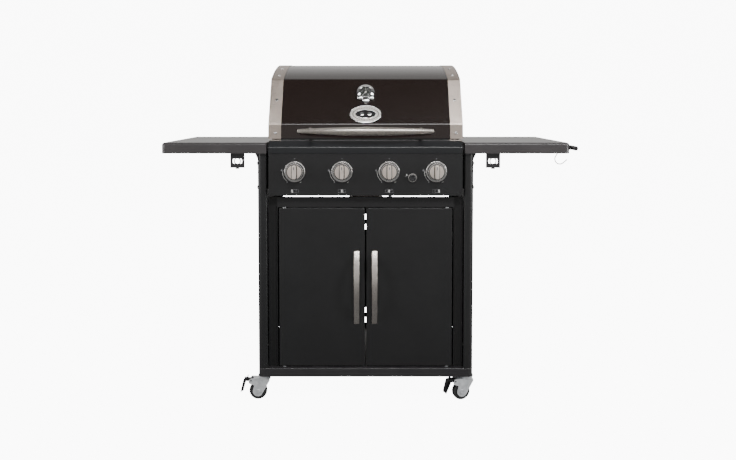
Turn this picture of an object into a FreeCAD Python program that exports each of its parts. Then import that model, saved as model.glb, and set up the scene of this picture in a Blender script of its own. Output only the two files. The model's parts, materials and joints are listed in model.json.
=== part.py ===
"""Gas barbecue grill on a closed cart: four burners, two side shelves, a hinged hood.

Frame: +X to the grill's right-hand shelf, +Y to its back, +Z up, millimetres, at real
size.  Sizes are given about the middle of the cart; every sub-part is then moved by
shift_right and shift_back, so that the origin is the bottom centre of the whole grill.
"""
import FreeCAD, Part
import math
import os
import re

import Sketcher
from FreeCAD import Placement, Rotation, Vector

SIZES = {
    "whole grill": {
        "shelf_reach": 672.6,
        "hook_reach": 48.2,
        "front_reach": 285.0,
        "hood_rear": 262.0,
    },
    "cart": {
        "cart_half": 358.0,
        "cart_deep_half": 240.0,
        "column_wide": 32.0,
        "column_round": 14.0,
        "column_lip_round": 6.0,
        "rear_round": 8.0,
        "panel_wall": 1.2,
        "base_low": 83.0,
        "base_top": 112.0,
        "base_wall": 1.5,
        "base_edge_round": 3.0,
        "side_top": 831.0,
        "back_top": 612.0,
        "back_fold": 12.0,
        "back_wall": 1.0,
        "vent_long": 60.0,
        "vent_tall": 21.0,
        "vent_spread": 180.0,
        "vent_lowest": 140.5,
        "vent_lower": 179.5,
        "vent_upper": 511.5,
        "vent_highest": 551.0,
        "bolt_head": 6.0,
        "bolt_shank": 3.0,
        "bolt_inset": 22.0,
        "bolt_low": 717.0,
        "bolt_high": 797.0,
    },
    "door frame and doors": {
        "frame_half": 295.0,
        "frame_front": -225.0,
        "frame_fold": 12.0,
        "stile_front": -215.0,
        "header_low": 650.0,
        "header_top": 684.6,
        "catch_near": 15.0,
        "catch_far": 40.0,
        "catch_wall": 1.5,
        "catch_gap": 1.0,
        "magnet_deep": 10.0,
        "magnet_tall": 18.0,
        "door_half": 289.0,
        "door_gap_half": 2.5,
        "door_low": 114.0,
        "door_top": 647.0,
        "door_thick": 14.0,
        "door_wall": 1.0,
        "door_corner": 4.0,
        "door_edge_round": 2.0,
        "hinge_x": 272.0,
        "hinge_y": -217.0,
        "hinge_pin": 3.0,
        "hinge_collar": 6.0,
        "hinge_reach": 8.0,
        "running_gap": 0.05,
        "face_gap": 0.3,
        "handle_low": 257.5,
        "handle_top": 503.0,
        "handle_near": 21.0,
        "handle_wide": 18.0,
        "handle_bow": 32.0,
        "handle_thick": 5.0,
        "handle_foot": 11.0,
    },
    "control panel": {
        "fascia_half": 320.0,
        "fascia_front": -248.0,
        "fascia_back": -216.0,
        "fascia_low": 691.6,
        "fascia_corner": 8.0,
        "knob_z": 771.0,
        "knob_far": 233.5,
        "knob_near": 77.8,
        "bezel_radius": 35.0,
        "bezel_thick": 3.0,
        "bezel_round": 1.2,
        "spindle_radius": 4.0,
        "spindle_hole": 6.0,
        "knob_radius": 28.5,
        "knob_skirt": 10.0,
        "knob_stand": 9.0,
        "grip_wide": 18.0,
        "grip_tall": 46.0,
        "grip_round": 4.0,
        "collar_radius": 8.0,
        "collar_thick": 3.0,
        "igniter_x": 154.5,
        "igniter_z": 751.0,
        "igniter_ring": 15.0,
        "igniter_body": 12.0,
        "button_radius": 10.0,
        "button_proud": 8.0,
        "trim_top": 875.0,
        "trim_back": -214.0,
    },
    "side shelves": {
        "shelf_inner": 327.0,
        "shelf_top": 867.0,
        "shelf_low": 831.0,
        "shelf_deep_half": 250.0,
        "shelf_wall": 1.0,
        "shelf_corner": 14.0,
        "shelf_nose": 9.0,
        "arm_offset": 200.0,
        "arm_thick": 2.5,
        "arm_short": 32.6,
        "arm_foot": 800.0,
        "gusset_reach": 14.0,
        "tag_left": 424.0,
        "tag_right": 421.5,
        "tag_half": 23.5,
        "tag_low": 783.0,
        "tag_front": -236.0,
        "tag_thick": 2.0,
        "tag_hole_z": 805.0,
        "tag_hole": 8.5,
        "rail_out": 18.9,
        "rail_z": 848.0,
        "rail_radius": 7.5,
        "rail_wall": 1.0,
        "rail_arm_offset": 205.0,
    },
    "s-hook": {
        "hook_y": -30.0,
        "hook_wire": 1.7,
        "hook_play": 0.3,
        "hook_lean": 30.0,
        "hook_stem": 42.0,
        "hook_bend": 18.0,
        "hook_tip": 18.0,
    },
    "cooking space": {
        "firebox_half": 316.0,
        "firebox_front": -198.0,
        "firebox_back": 210.0,
        "firebox_low": 700.0,
        "firebox_top": 885.0,
        "firebox_wall": 1.5,
        "firebox_round": 12.0,
        "drain_radius": 30.0,
        "drain_y": 60.0,
        "ledge_wide": 12.0,
        "grate_low": 852.0,
        "grate_thick": 10.0,
        "grate_half": 306.0,
        "grate_front": -190.0,
        "grate_back": 202.0,
        "grate_bar": 8.0,
        "tamer_low": 800.0,
        "tamer_top": 822.0,
        "tamer_half": 55.0,
        "burner_z": 750.0,
        "burner_radius": 13.0,
        "burner_mouth": 10.0,
        "burner_wall": 1.0,
        "burner_front": -204.0,
        "burner_step": -170.0,
        "burner_back": 190.0,
        "manifold_y": -212.0,
        "manifold_z": 716.0,
        "manifold_radius": 10.0,
        "manifold_half": 250.0,
        "inlet_x": 82.0,
        "inlet_y": -206.0,
        "inlet_low": 652.0,
        "inlet_radius": 6.58,
        "inlet_thread": 15.0,
        "inlet_bore": 4.0,
        "valve_half": 12.0,
        "valve_front": -236.0,
        "spindle_bore": 14.0,
        "valve_back": -208.0,
        "valve_low": 735.0,
        "valve_top": 785.0,
        "rack_half": 304.0,
        "rack_z": 985.0,
        "rack_front": 90.0,
        "rack_back": 205.0,
        "rack_wire": 3.0,
        "rack_lip": 6.0,
    },
    "drip tray": {
        "tray_half": 50.0,
        "tray_front": -40.0,
        "tray_back": 160.0,
        "tray_low": 636.0,
        "tray_rim": 665.0,
        "tray_rim_half": 56.0,
        "tray_wall": 1.2,
    },
    "hood": {
        "hood_half": 326.0,
        "band_wide": 43.0,
        "hood_wall": 1.2,
        "hood_inset": 1.3,
        "sheet_half": 300.0,
        "hood_low_y": -205.0,
        "hood_low_z": 878.0,
        "bend_y": -200.0,
        "bend_z": 926.0,
        "bend_round": 10.0,
        "crease_y": -115.0,
        "crease_z": 1080.0,
        "crease_round": 14.0,
        "roof_back_y": 205.0,
        "roof_back_z": 1144.0,
        "roof_radius": 930.0,
        "roof_back_round": 30.0,
        "hood_rear_z": 880.0,
        "hood_hinge_y": 240.0,
        "hood_hinge_z": 895.0,
        "hood_pin": 4.0,
        "rivet_x": 302.0,
        "rivet_radius": 5.0,
        "rivet_tall": 2.5,
        "bar_half": 223.0,
        "bar_z": 904.5,
        "bar_front": -268.0,
        "bar_end_y": -246.0,
        "bar_mid_radius": 14.5,
        "bar_end_radius": 7.0,
        "post_x": 185.0,
        "post_radius": 7.0,
        "gauge_z": 1033.0,
        "gauge_radius": 31.0,
        "gauge_window": 23.5,
        "gauge_thick": 12.0,
        "badge_z": 960.0,
        "badge_half_wide": 54.0,
        "badge_half_tall": 33.5,
        "badge_thick": 3.0,
    },
    "casters": {
        "king_x": 341.0,
        "king_y": 215.0,
        "trail": 21.0,
        "wheel_radius": 30.0,
        "wheel_half": 10.0,
        "hub_radius": 21.0,
        "tyre_round": 4.0,
        "axle_radius": 4.0,
        "fork_inner": 13.0,
        "fork_plate": 2.5,
        "crown_gap": 13.0,
        "lobe_radius": 17.0,
        "head_radius": 19.0,
        "head_tall": 6.0,
        "head_gap": 4.0,
        "stud_radius": 5.0,
        "front_right_turn": 13.0,
        "pedal_in": 7.0,
        "pedal_over": 6.0,
        "pedal_pin": 2.5,
        "pedal_half": 15.0,
        "pedal_thick": 3.5,
    },
}
ALIASES = {alias for group in SIZES.values() for alias in group}
KNOB_PLACES = ("-knob_far", "-knob_near", "knob_near", "knob_far")
SIDES = {"left": "-", "right": ""}
SHIFT_RIGHT = "-hook_reach / 2"
SHIFT_BACK = "(front_reach - hood_rear) / 2"
RAIL_X = "(shelf_reach + rail_out)"
FORK_TOP = "(2 * wheel_radius + crown_gap)"
HEAD_TOP = f"({FORK_TOP} + head_tall)"
SHIFT_UP = f"({HEAD_TOP} + head_gap - base_low)"
PEDAL_X = "(-trail - (wheel_radius - pedal_in))"
PEDAL_Z = "(2 * wheel_radius + pedal_over)"
PANEL_TILT = "atan2(crease_z - bend_z; crease_y - bend_y)"
AXIS_TURNS = {
    "X": Rotation(Vector(0, 1, 0), 90),
    "Y": Rotation(Vector(1, 0, 0), -90),
    "Z": Rotation(),
}

DOC = FreeCAD.newDocument("Grill")
SHEET = DOC.addObject("Spreadsheet::Sheet", "Sizes")
NODES = {}


# ---------------------------------------------------------------- sheet and expressions

def fill_sheet():
    """Write every driving dimension into the sheet, one group after another."""
    row = 1
    for group, sizes in SIZES.items():
        SHEET.set(f"A{row}", group)
        row += 1
        for alias, size in sizes.items():
            SHEET.set(f"A{row}", alias)
            SHEET.set(f"B{row}", str(size))
            SHEET.setAlias(f"B{row}", alias)
            row += 1
    DOC.recompute()


def in_sheet(expression):
    """Give each alias in an expression the sheet's name."""
    def prefix(match):
        word = match.group(0)
        return f"Sizes.{word}" if word in ALIASES else word
    return re.sub(r"[a-z][a-z_]*", prefix, expression)


def bind(item, target, expression):
    item.setExpression(target, in_sheet(expression))


def value(expression):
    """The number that an expression over the sheet gives."""
    return float(SHEET.evalExpression(in_sheet(expression)))


def spot(*expressions):
    """A point whose coordinates are expressions."""
    return Vector(*(value(expression) for expression in expressions))


# ---------------------------------------------------------------- Part primitives

def box(x, y, z):
    """A block between three (low, high) pairs of expressions."""
    item = DOC.addObject("Part::Box", "Block")
    for axis, side, (low, high) in zip("xyz", ("Length", "Width", "Height"), (x, y, z)):
        bind(item, f"Placement.Base.{axis}", low)
        bind(item, side, f"({high}) - ({low})")
    return item


def rod(axis, centre, radius, span):
    """A cylinder along an axis, at two cross coordinates, from span's low to its high."""
    item = DOC.addObject("Part::Cylinder", "Rod")
    item.Placement = Placement(Vector(), AXIS_TURNS[axis])
    cross = iter(centre)
    for name in "xyz":
        place = span[0] if name == axis.lower() else next(cross)
        bind(item, f"Placement.Base.{name}", place)
    bind(item, "Radius", radius)
    bind(item, "Height", f"({span[1]}) - ({span[0]})")
    return item


def fuse(*pieces):
    item = DOC.addObject("Part::MultiFuse", "Joined")
    item.Shapes = list(pieces)
    return item


def cut(base, *tools):
    item = DOC.addObject("Part::Cut", "Cut")
    item.Base = base
    item.Tool = tools[0] if len(tools) == 1 else fuse(*tools)
    return item


def common(base, tool):
    item = DOC.addObject("Part::Common", "Shared")
    item.Base = base
    item.Tool = tool
    return item


def group(*pieces):
    """Separate solids that share one node."""
    item = DOC.addObject("Part::Compound", "Set")
    item.Links = list(pieces)
    return item


def mirror(source):
    """The right-hand twin of a left-hand piece."""
    item = DOC.addObject("Part::Mirroring", "Mirrored")
    item.Source = source
    item.Base = Vector()
    item.Normal = Vector(1, 0, 0)
    return item


def tube(axis, centre, outer, inner, span):
    return cut(rod(axis, centre, outer, span), rod(axis, centre, inner, span))


# ---------------------------------------------------------------- PartDesign bodies

def draw(sketch, points):
    """Draw a closed outline; a point with a radius starts an arc to the next point.

    A positive radius bulges to the left of the way round, a negative one to the right.
    """
    places = [(value(point[0]), value(point[1])) for point in points]
    lines = []
    for index, point in enumerate(points):
        start = Vector(*places[index], 0)
        end = Vector(*places[(index + 1) % len(points)], 0)
        if len(point) == 2:
            lines.append(Part.LineSegment(start, end))
            continue
        radius = value(point[2])
        half = (end - start) * 0.5
        across = Vector(-half.y, half.x, 0).normalize() * math.copysign(1, radius)
        rise = abs(radius) - math.sqrt(radius ** 2 - half.Length ** 2)
        lines.append(Part.Arc(start, start + half + across * rise, end))
    sketch.addGeometry(lines, False)
    for index, point in enumerate(points):
        following = (index + 1) % len(points)
        start, end = ends_of(lines[index], index, places)
        next_start = ends_of(lines[following], following, places)[0]
        sketch.addConstraint(Sketcher.Constraint("Coincident", index, end, following, next_start))
        for kind, place, expression in zip(("DistanceX", "DistanceY"), places[index], point):
            constraint = Sketcher.Constraint(kind, -1, 1, index, start, place)
            number = sketch.addConstraint(constraint)
            bind(sketch, f"Constraints[{number}]", expression)
        if len(point) == 3:
            radius = abs(value(point[2]))
            number = sketch.addConstraint(Sketcher.Constraint("Radius", index, radius))
            bind(sketch, f"Constraints[{number}]", f"abs({point[2]})")


def ends_of(line, index, places):
    """The sketch's own numbers (1 or 2) of a line's first and last points.

    A sketch stores every arc anticlockwise, so an arc drawn clockwise has them swapped.
    """
    if isinstance(line, Part.LineSegment):
        return 1, 2
    anticlockwise = line.toShape().Curve.Axis.z > 0
    return (1, 2) if anticlockwise else (2, 1)


def add_sketch(body, plane, points, height="0"):
    """A sketch on one of the body's origin planes, raised along the plane's normal."""
    sketch = body.newObject("Sketcher::SketchObject", "Outline")
    support = next(item for item in body.Origin.OriginFeatures if item.Role == plane)
    sketch.AttachmentSupport = [(support, "")]
    sketch.MapMode = "FlatFace"
    bind(sketch, "AttachmentOffset.Base.z", height)
    draw(sketch, points)
    return sketch


def prism(plane, points, span):
    """A body padded from an outline between two heights across its plane."""
    body = DOC.addObject("PartDesign::Body", "Body")
    low, high = span
    height = f"-({high})" if plane == "XZ_Plane" else low
    sketch = add_sketch(body, plane, points, height)
    pad = body.newObject("PartDesign::Pad", "Pad")
    pad.Profile = sketch
    bind(pad, "Length", f"({high}) - ({low})")
    DOC.recompute()
    return body


def rectangle(low, high):
    """An outline from two opposite corners."""
    return [(low[0], low[1]), (high[0], low[1]), (high[0], high[1]), (low[0], high[1])]


def block(x, y, z):
    """A body in the shape of a block, ready to be rounded and hollowed."""
    return prism("XY_Plane", rectangle((x[0], y[0]), (x[1], y[1])), z)


def turned(plane, points, axis):
    """A body revolved from an outline about one of its sketch's own axes."""
    body = DOC.addObject("PartDesign::Body", "Body")
    sketch = add_sketch(body, plane, points)
    revolution = body.newObject("PartDesign::Revolution", "Revolution")
    revolution.Profile = sketch
    revolution.ReferenceAxis = (sketch, [axis])
    revolution.Angle = 360
    DOC.recompute()
    return body


def edges(body, along, *places):
    """Names of the straight edges that run along an axis at given cross coordinates."""
    axis = "XYZ".index(along)
    crossing = [index for index in range(3) if index != axis]
    names = []
    for number, edge in enumerate(body.Shape.Edges, start=1):
        low, high = edge.Vertexes[0].Point, edge.Vertexes[-1].Point
        straight = all(abs(low[index] - high[index]) < 1e-4 for index in crossing)
        if not straight or abs(low[axis] - high[axis]) < 1e-4:
            continue
        for place in places:
            wanted = [value(expression) for expression in place]
            if all(abs(low[index] - size) < 1e-3 for index, size in zip(crossing, wanted)):
                names.append(f"Edge{number}")
                break
    return names


def rim_edges(body, axis, at):
    """Names of every edge that lies in a plane across an axis."""
    index = "XYZ".index(axis)
    names = []
    for number, edge in enumerate(body.Shape.Edges, start=1):
        if all(abs(vertex.Point[index] - value(at)) < 1e-3 for vertex in edge.Vertexes):
            names.append(f"Edge{number}")
    return names


def flat_faces(body, *places):
    """Names of the flat faces at given (axis, place) pairs."""
    names = []
    for number, face in enumerate(body.Shape.Faces, start=1):
        low = Vector(face.BoundBox.XMin, face.BoundBox.YMin, face.BoundBox.ZMin)
        high = Vector(face.BoundBox.XMax, face.BoundBox.YMax, face.BoundBox.ZMax)
        for axis, at in places:
            index = "XYZ".index(axis)
            if abs(low[index] - value(at)) < 1e-2 and abs(high[index] - value(at)) < 1e-2:
                names.append(f"Face{number}")
    return names


def soften(body, names, radius):
    """Round the named edges of a body."""
    base = body.Tip
    fillet = body.newObject("PartDesign::Fillet", "Rounding")
    fillet.Base = (base, names)
    bind(fillet, "Radius", radius)
    DOC.recompute()
    return body


def hollow(body, names, wall):
    """Leave only a wall inside a body's skin, open at the named faces."""
    base, solid_volume = body.Tip, body.Shape.Volume
    skin = body.newObject("PartDesign::Thickness", "Skin")
    skin.Base = (base, names)
    skin.Reversed = True
    skin.Join = 1
    bind(skin, "Value", wall)
    DOC.recompute()
    if not 0 < body.Shape.Volume < solid_volume:
        raise RuntimeError(f"{body.Name} did not become hollow: {skin.getStatusString()}")
    return body


# ---------------------------------------------------------------- finishing a sub-part

def finish(item, label):
    """Name a sub-part and move it from the cart's middle to the grill's frame."""
    return finish_at(item, label, "0", "0", SHIFT_UP)


def finish_at(item, label, x, y, up):
    """Name a sub-part drawn about an upright line and stand it at x, y of the cart."""
    holder = item
    if item.TypeId == "Part::Mirroring":
        holder = group(item)
    holder.Label = label
    bind(holder, "Placement.Base.x", f"{SHIFT_RIGHT} + ({x})")
    bind(holder, "Placement.Base.y", f"{SHIFT_BACK} + ({y})")
    bind(holder, "Placement.Base.z", up)
    NODES[label] = holder
    return holder


def shaped(shape, name):
    """A plain feature for a shape made with Part's own functions."""
    item = DOC.addObject("Part::Feature", name)
    item.Shape = shape
    return item


# ---------------------------------------------------------------- cart

def base_tray():
    """Folded bottom shelf, open underneath."""
    deep = ("-cart_deep_half", "cart_deep_half")
    body = block(("-cart_half", "cart_half"), deep, ("base_low", "base_top"))
    for y, radius in (("-cart_deep_half", "column_round"), ("cart_deep_half", "rear_round")):
        soften(body, edges(body, "Z", ("-cart_half", y), ("cart_half", y)), radius)
    soften(body, rim_edges(body, "Z", "base_top"), "base_edge_round")
    finish(hollow(body, flat_faces(body, ("Z", "base_low")), "base_wall"), "base_tray")


def side_panel(side):
    """One side of the cart: a sheet whose front edge is rolled into a column."""
    inner = "cart_half - column_wide"
    points = [
        (inner, "cart_deep_half"),
        ("cart_half - rear_round", "cart_deep_half", "rear_round"),
        ("cart_half", "cart_deep_half - rear_round"),
        ("cart_half", "column_round - cart_deep_half", "column_round"),
        ("cart_half - column_round", "-cart_deep_half"),
        (f"{inner} + column_lip_round", "-cart_deep_half", "column_lip_round"),
        (inner, "column_lip_round - cart_deep_half"),
        (f"{inner} + panel_wall", "column_lip_round - cart_deep_half", "panel_wall - column_lip_round"),
        (f"{inner} + column_lip_round", "panel_wall - cart_deep_half"),
        ("cart_half - column_round", "panel_wall - cart_deep_half", "panel_wall - column_round"),
        ("cart_half - panel_wall", "column_round - cart_deep_half"),
        ("cart_half - panel_wall", "cart_deep_half - rear_round", "panel_wall - rear_round"),
        ("cart_half - rear_round", "cart_deep_half - panel_wall"),
        (inner, "cart_deep_half - panel_wall"),
    ]
    sheet = prism("XY_Plane", points, ("base_top", "side_top"))
    span = sorted_span("", "cart_half - 8", "cart_half + 1")
    holes = [rod("X", place, "bolt_shank + running_gap", span) for place in bolt_places()]
    panel = cut(sheet, *holes)
    finish(mirror(panel) if side == "left" else panel, f"side_panel_{side}")


def sorted_span(sign, near, far):
    """The (low, high) pair between two distances from the middle, on one side."""
    return (f"-({far})", f"-({near})") if sign else (near, far)


def bolt_places():
    """Y and Z of the four bolts in each side panel."""
    rows = ("-cart_deep_half + bolt_inset", "cart_deep_half - bolt_inset")
    return [(y, z) for y in rows for z in ("bolt_low", "bolt_high")]


def frame_bolts():
    bolts = []
    for sign in SIDES.values():
        for place in bolt_places():
            shank = rod("X", place, "bolt_shank", sorted_span(sign, "cart_half - 8", "cart_half"))
            head = rod("X", place, "bolt_head", sorted_span(sign, "cart_half", "cart_half + 2"))
            dome = rod("X", place, "bolt_head - 2", sorted_span(sign, "cart_half + 2", "cart_half + 3.5"))
            bolts.append(fuse(shank, head, dome))
    finish(group(*bolts), "frame_bolts")


def back_panel():
    """Rear sheet with a folded rim and rows of air vents; the cart is open above it."""
    half = "cart_half - column_wide - face_gap"
    back = "cart_deep_half - panel_wall"
    body = block((f"-({half})", half), (f"{back} - back_fold", back), ("base_top", "back_top"))
    hollow(body, flat_faces(body, ("Y", f"{back} - back_fold")), "back_wall")
    vents = []
    for z in ("vent_lowest", "vent_lower", "vent_upper", "vent_highest"):
        for x in ("-vent_spread", "0", "vent_spread"):
            span = (f"{back} - 3", f"{back} + 1")
            flat = "vent_long / 2 - vent_tall / 2"
            vents.append(box((f"{x} - ({flat})", f"{x} + {flat}"), span,
                             (f"{z} - vent_tall / 2", f"{z} + vent_tall / 2")))
            vents += [rod("Y", (f"{x} {end} ({flat})", z), "vent_tall / 2", span) for end in "+-"]
    finish(cut(body, *vents), "back_panel")


def door_frame():
    """Header above the doors and a stile down each side of them."""
    back = "frame_front + frame_fold"
    header = block(("-frame_half", "frame_half"), ("frame_front", back), ("header_low", "header_top"))
    hollow(header, flat_faces(header, ("Y", back)), "panel_wall")
    pieces = [header]
    for sign in SIDES.values():
        outer = "cart_half - column_wide - face_gap"
        height = ("base_top", "header_top")
        stile_back = "stile_front + panel_wall"
        face = box(sorted_span(sign, "frame_half", outer), ("stile_front", stile_back), height)
        edge_y = ("frame_front", stile_back)
        edge = box(sorted_span(sign, "frame_half - panel_wall", "frame_half"), edge_y, height)
        pieces += [face, edge]
    finish(fuse(*pieces), "door_frame")


def door_hinge_pins():
    """A collared pivot pin below and above each door."""
    pins = []
    for sign in SIDES.values():
        place = (f"{sign}hinge_x", "hinge_y")
        low_pin = rod("Z", place, "hinge_pin", ("base_top", "base_top + hinge_reach"))
        low_collar = rod("Z", place, "hinge_collar", ("base_top", "door_low - face_gap"))
        top_pin = rod("Z", place, "hinge_pin", ("header_low - hinge_reach", "header_low"))
        top_collar = rod("Z", place, "hinge_collar", ("door_top + face_gap", "header_low"))
        pins += [fuse(low_pin, low_collar), fuse(top_pin, top_collar)]
    finish(group(*pins), "door_hinge_pins")


def door_catches():
    """Magnet blocks that hang behind the header and hold the doors shut."""
    catches = []
    back = "frame_front + frame_fold"
    pole = "frame_front + door_thick + catch_gap"
    for sign in SIDES.values():
        x = sorted_span(sign, "catch_near", "catch_far")
        plate = box(x, (back, f"{back} + catch_wall"), ("header_low + 1", "header_top - 4"))
        magnet_y = (pole, f"{pole} + magnet_deep")
        shelf = box(x, (back, magnet_y[1]), ("header_low + 1", "header_low + 4"))
        magnet = box(x, magnet_y, ("header_low - magnet_tall", "header_low + 1"))
        catches.append(fuse(plate, shelf, magnet))
    finish(group(*catches), "door_catches")


def door(side):
    """A pan-shaped door with a pin hole in its top and bottom folds."""
    sign = SIDES[side]
    back = "frame_front + door_thick"
    x = sorted_span(sign, "door_gap_half", "door_half")
    height = ("door_low", "door_top")
    body = block(x, ("frame_front", back), height)
    soften(body, edges(body, "Y", *((across, up) for across in x for up in height)), "door_corner")
    soften(body, rim_edges(body, "Y", "frame_front"), "door_edge_round")
    hollow(body, flat_faces(body, ("Y", back)), "door_wall")
    place = (f"{sign}hinge_x", "hinge_y")
    hole = rod("Z", place, "hinge_pin + running_gap", ("door_low - 1", "door_top + 1"))
    finish(cut(body, hole), f"door_{side}")


def door_handle(side):
    """A bowed flat bar whose two ends stand on the door."""
    sign = SIDES[side]
    inner_half = "((handle_top - handle_low) / 2 - handle_foot)"
    inner_bow = "(handle_bow - handle_thick)"
    outer_radius = "(((handle_top - handle_low) / 2)^2 + handle_bow^2) / (2 * handle_bow)"
    inner_radius = f"({inner_half}^2 + {inner_bow}^2) / (2 * {inner_bow})"
    points = [
        ("frame_front", "handle_low"),
        ("frame_front", "handle_low + handle_foot", inner_radius),
        ("frame_front", "handle_top - handle_foot"),
        ("frame_front", "handle_top", f"-({outer_radius})"),
    ]
    x = sorted_span(sign, "handle_near", "handle_near + handle_wide")
    finish(prism("YZ_Plane", points, x), f"door_handle_{side}")


# ---------------------------------------------------------------- front of the firebox

def knob_bores(radius, span):
    return [rod("Y", (x, "knob_z"), radius, span) for x in KNOB_PLACES]


def control_panel():
    y = ("fascia_front", "fascia_back")
    body = block(("-fascia_half", "fascia_half"), y, ("fascia_low", "side_top"))
    corners = edges(body, "Y", ("-fascia_half", "fascia_low"), ("fascia_half", "fascia_low"))
    soften(body, corners, "fascia_corner")
    hollow(body, flat_faces(body, ("Y", "fascia_back")), "panel_wall")
    span = ("fascia_front - 1", "fascia_front + 3")
    holes = knob_bores("spindle_hole", span)
    holes.append(rod("Y", ("igniter_x", "igniter_z"), "igniter_body + running_gap", span))
    finish(cut(body, *holes), "control_panel")


def front_trim():
    """Curved rail between the control panel and the hood."""
    low = "side_top + face_gap"
    points = [
        ("trim_back", low),
        ("fascia_front - 2", low),
        ("fascia_front - 2", "trim_top - 23"),
        ("trim_back - 14", "trim_top - 3"),
        ("trim_back", "trim_top"),
    ]
    body = prism("YZ_Plane", points, ("-fascia_half", "fascia_half"))
    for place in (("fascia_front - 2", "trim_top - 23"), ("trim_back - 14", "trim_top - 3")):
        soften(body, edges(body, "X", place), "column_round / 2")
    openings = flat_faces(body, ("Y", "trim_back"), ("Z", low))
    finish(hollow(body, openings, "panel_wall"), "front_trim")


def knob_bezels():
    front = "fascia_front - bezel_thick"
    span = (front, "fascia_front")
    rings = []
    for x in KNOB_PLACES:
        plate = tube("Y", (x, "knob_z"), "bezel_radius", "spindle_hole", span)
        well = rod("Y", (x, "knob_z"), "knob_radius + 1", (f"{front} - 1", f"{front} + bezel_round"))
        rings.append(cut(plate, well))
    finish(group(*rings), "knob_bezels")


def knob(number, x):
    """A knob with its grip bar, on its own spindle."""
    back = "fascia_front - knob_stand"
    skirt = rod("Y", (x, "knob_z"), "knob_radius", (f"{back} - knob_skirt", back))
    grip_x = (f"{x} - grip_wide / 2", f"{x} + grip_wide / 2")
    grip_z = ("knob_z - grip_tall / 2", "knob_z + grip_tall / 2")
    body = block(grip_x, ("-front_reach", f"{back} - knob_skirt"), grip_z)
    soften(body, rim_edges(body, "Y", "-front_reach"), "grip_round")
    spindle = rod("Y", (x, "knob_z"), "spindle_radius", (f"{back}", "valve_front + 8"))
    finish(group(fuse(skirt, body), spindle), f"knob_{number}")


def valve_collar(number, x):
    """The spring seat that is pushed in with the spindle and lets it turn."""
    span = ("fascia_front + 4", "fascia_front + 4 + collar_thick")
    bore = "spindle_radius + running_gap"
    finish(tube("Y", (x, "knob_z"), "collar_radius", bore, span), f"valve_collar_{number}")


def gas_valves():
    """Four valve bodies, each with an outlet nozzle that points into its burner."""
    valves = []
    for x in KNOB_PLACES:
        body = box((f"{x} - valve_half", f"{x} + valve_half"), ("valve_front", "valve_back"),
                   ("valve_low", "valve_top"))
        nozzle = rod("Y", (x, "burner_z"), "spindle_radius", ("valve_back", "burner_front + 10"))
        bore_span = ("valve_front - 1", "valve_front + spindle_bore")
        bore = rod("Y", (x, "knob_z"), "spindle_radius + running_gap", bore_span)
        valves.append(cut(fuse(body, nozzle), bore))
    finish(group(*valves), "gas_valves")


def gas_manifold():
    """Supply pipe below the valves with a threaded inlet that drops behind the header."""
    place = ("manifold_y", "manifold_z")
    pipe = rod("X", place, "manifold_radius", ("-manifold_half", "manifold_half"))
    bore = rod("X", place, "manifold_radius - 2", ("-manifold_half + 4", "manifold_half - 4"))
    drop = rod("Z", ("inlet_x", "inlet_y"), "inlet_radius", ("inlet_low", "manifold_z"))
    drop_bore = rod("Z", ("inlet_x", "inlet_y"), "inlet_bore", ("inlet_low - 1", "manifold_z"))
    nut_low = "inlet_low + inlet_thread"
    nut = rod("Z", ("inlet_x", "inlet_y"), "inlet_radius + 0.9", (nut_low, f"{nut_low} + 8"))
    stubs = [rod("Z", (x, "manifold_y"), "6", ("manifold_z", "valve_low")) for x in KNOB_PLACES]
    finish(cut(fuse(pipe, drop, nut, *stubs), bore, drop_bore), "gas_manifold")


def ignition_set():
    """Igniter barrel in the control panel and four spark electrodes at the burners."""
    place = ("igniter_x", "igniter_z")
    front = "fascia_front - 4"
    ring = rod("Y", place, "igniter_ring", (front, "fascia_front"))
    barrel = rod("Y", place, "igniter_body", ("fascia_front", "fascia_front + 38"))
    bore = rod("Y", place, "button_radius + running_gap", (f"{front} - 1", "fascia_front + 26"))
    pieces = [cut(fuse(ring, barrel), bore)]
    inside = "firebox_front + firebox_wall"
    for x in KNOB_PLACES:
        pieces.append(rod("Y", (f"{x} + 22", "burner_z + 16"), "4", (inside, f"{inside} + 24")))
    finish(group(*pieces), "ignition_set")


def igniter_button():
    place = ("igniter_x", "igniter_z")
    body = rod("Y", place, "button_radius", ("fascia_front - 4 - button_proud", "fascia_front + 14"))
    finish(group(body), "igniter_button")


# ---------------------------------------------------------------- firebox and what it holds

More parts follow.
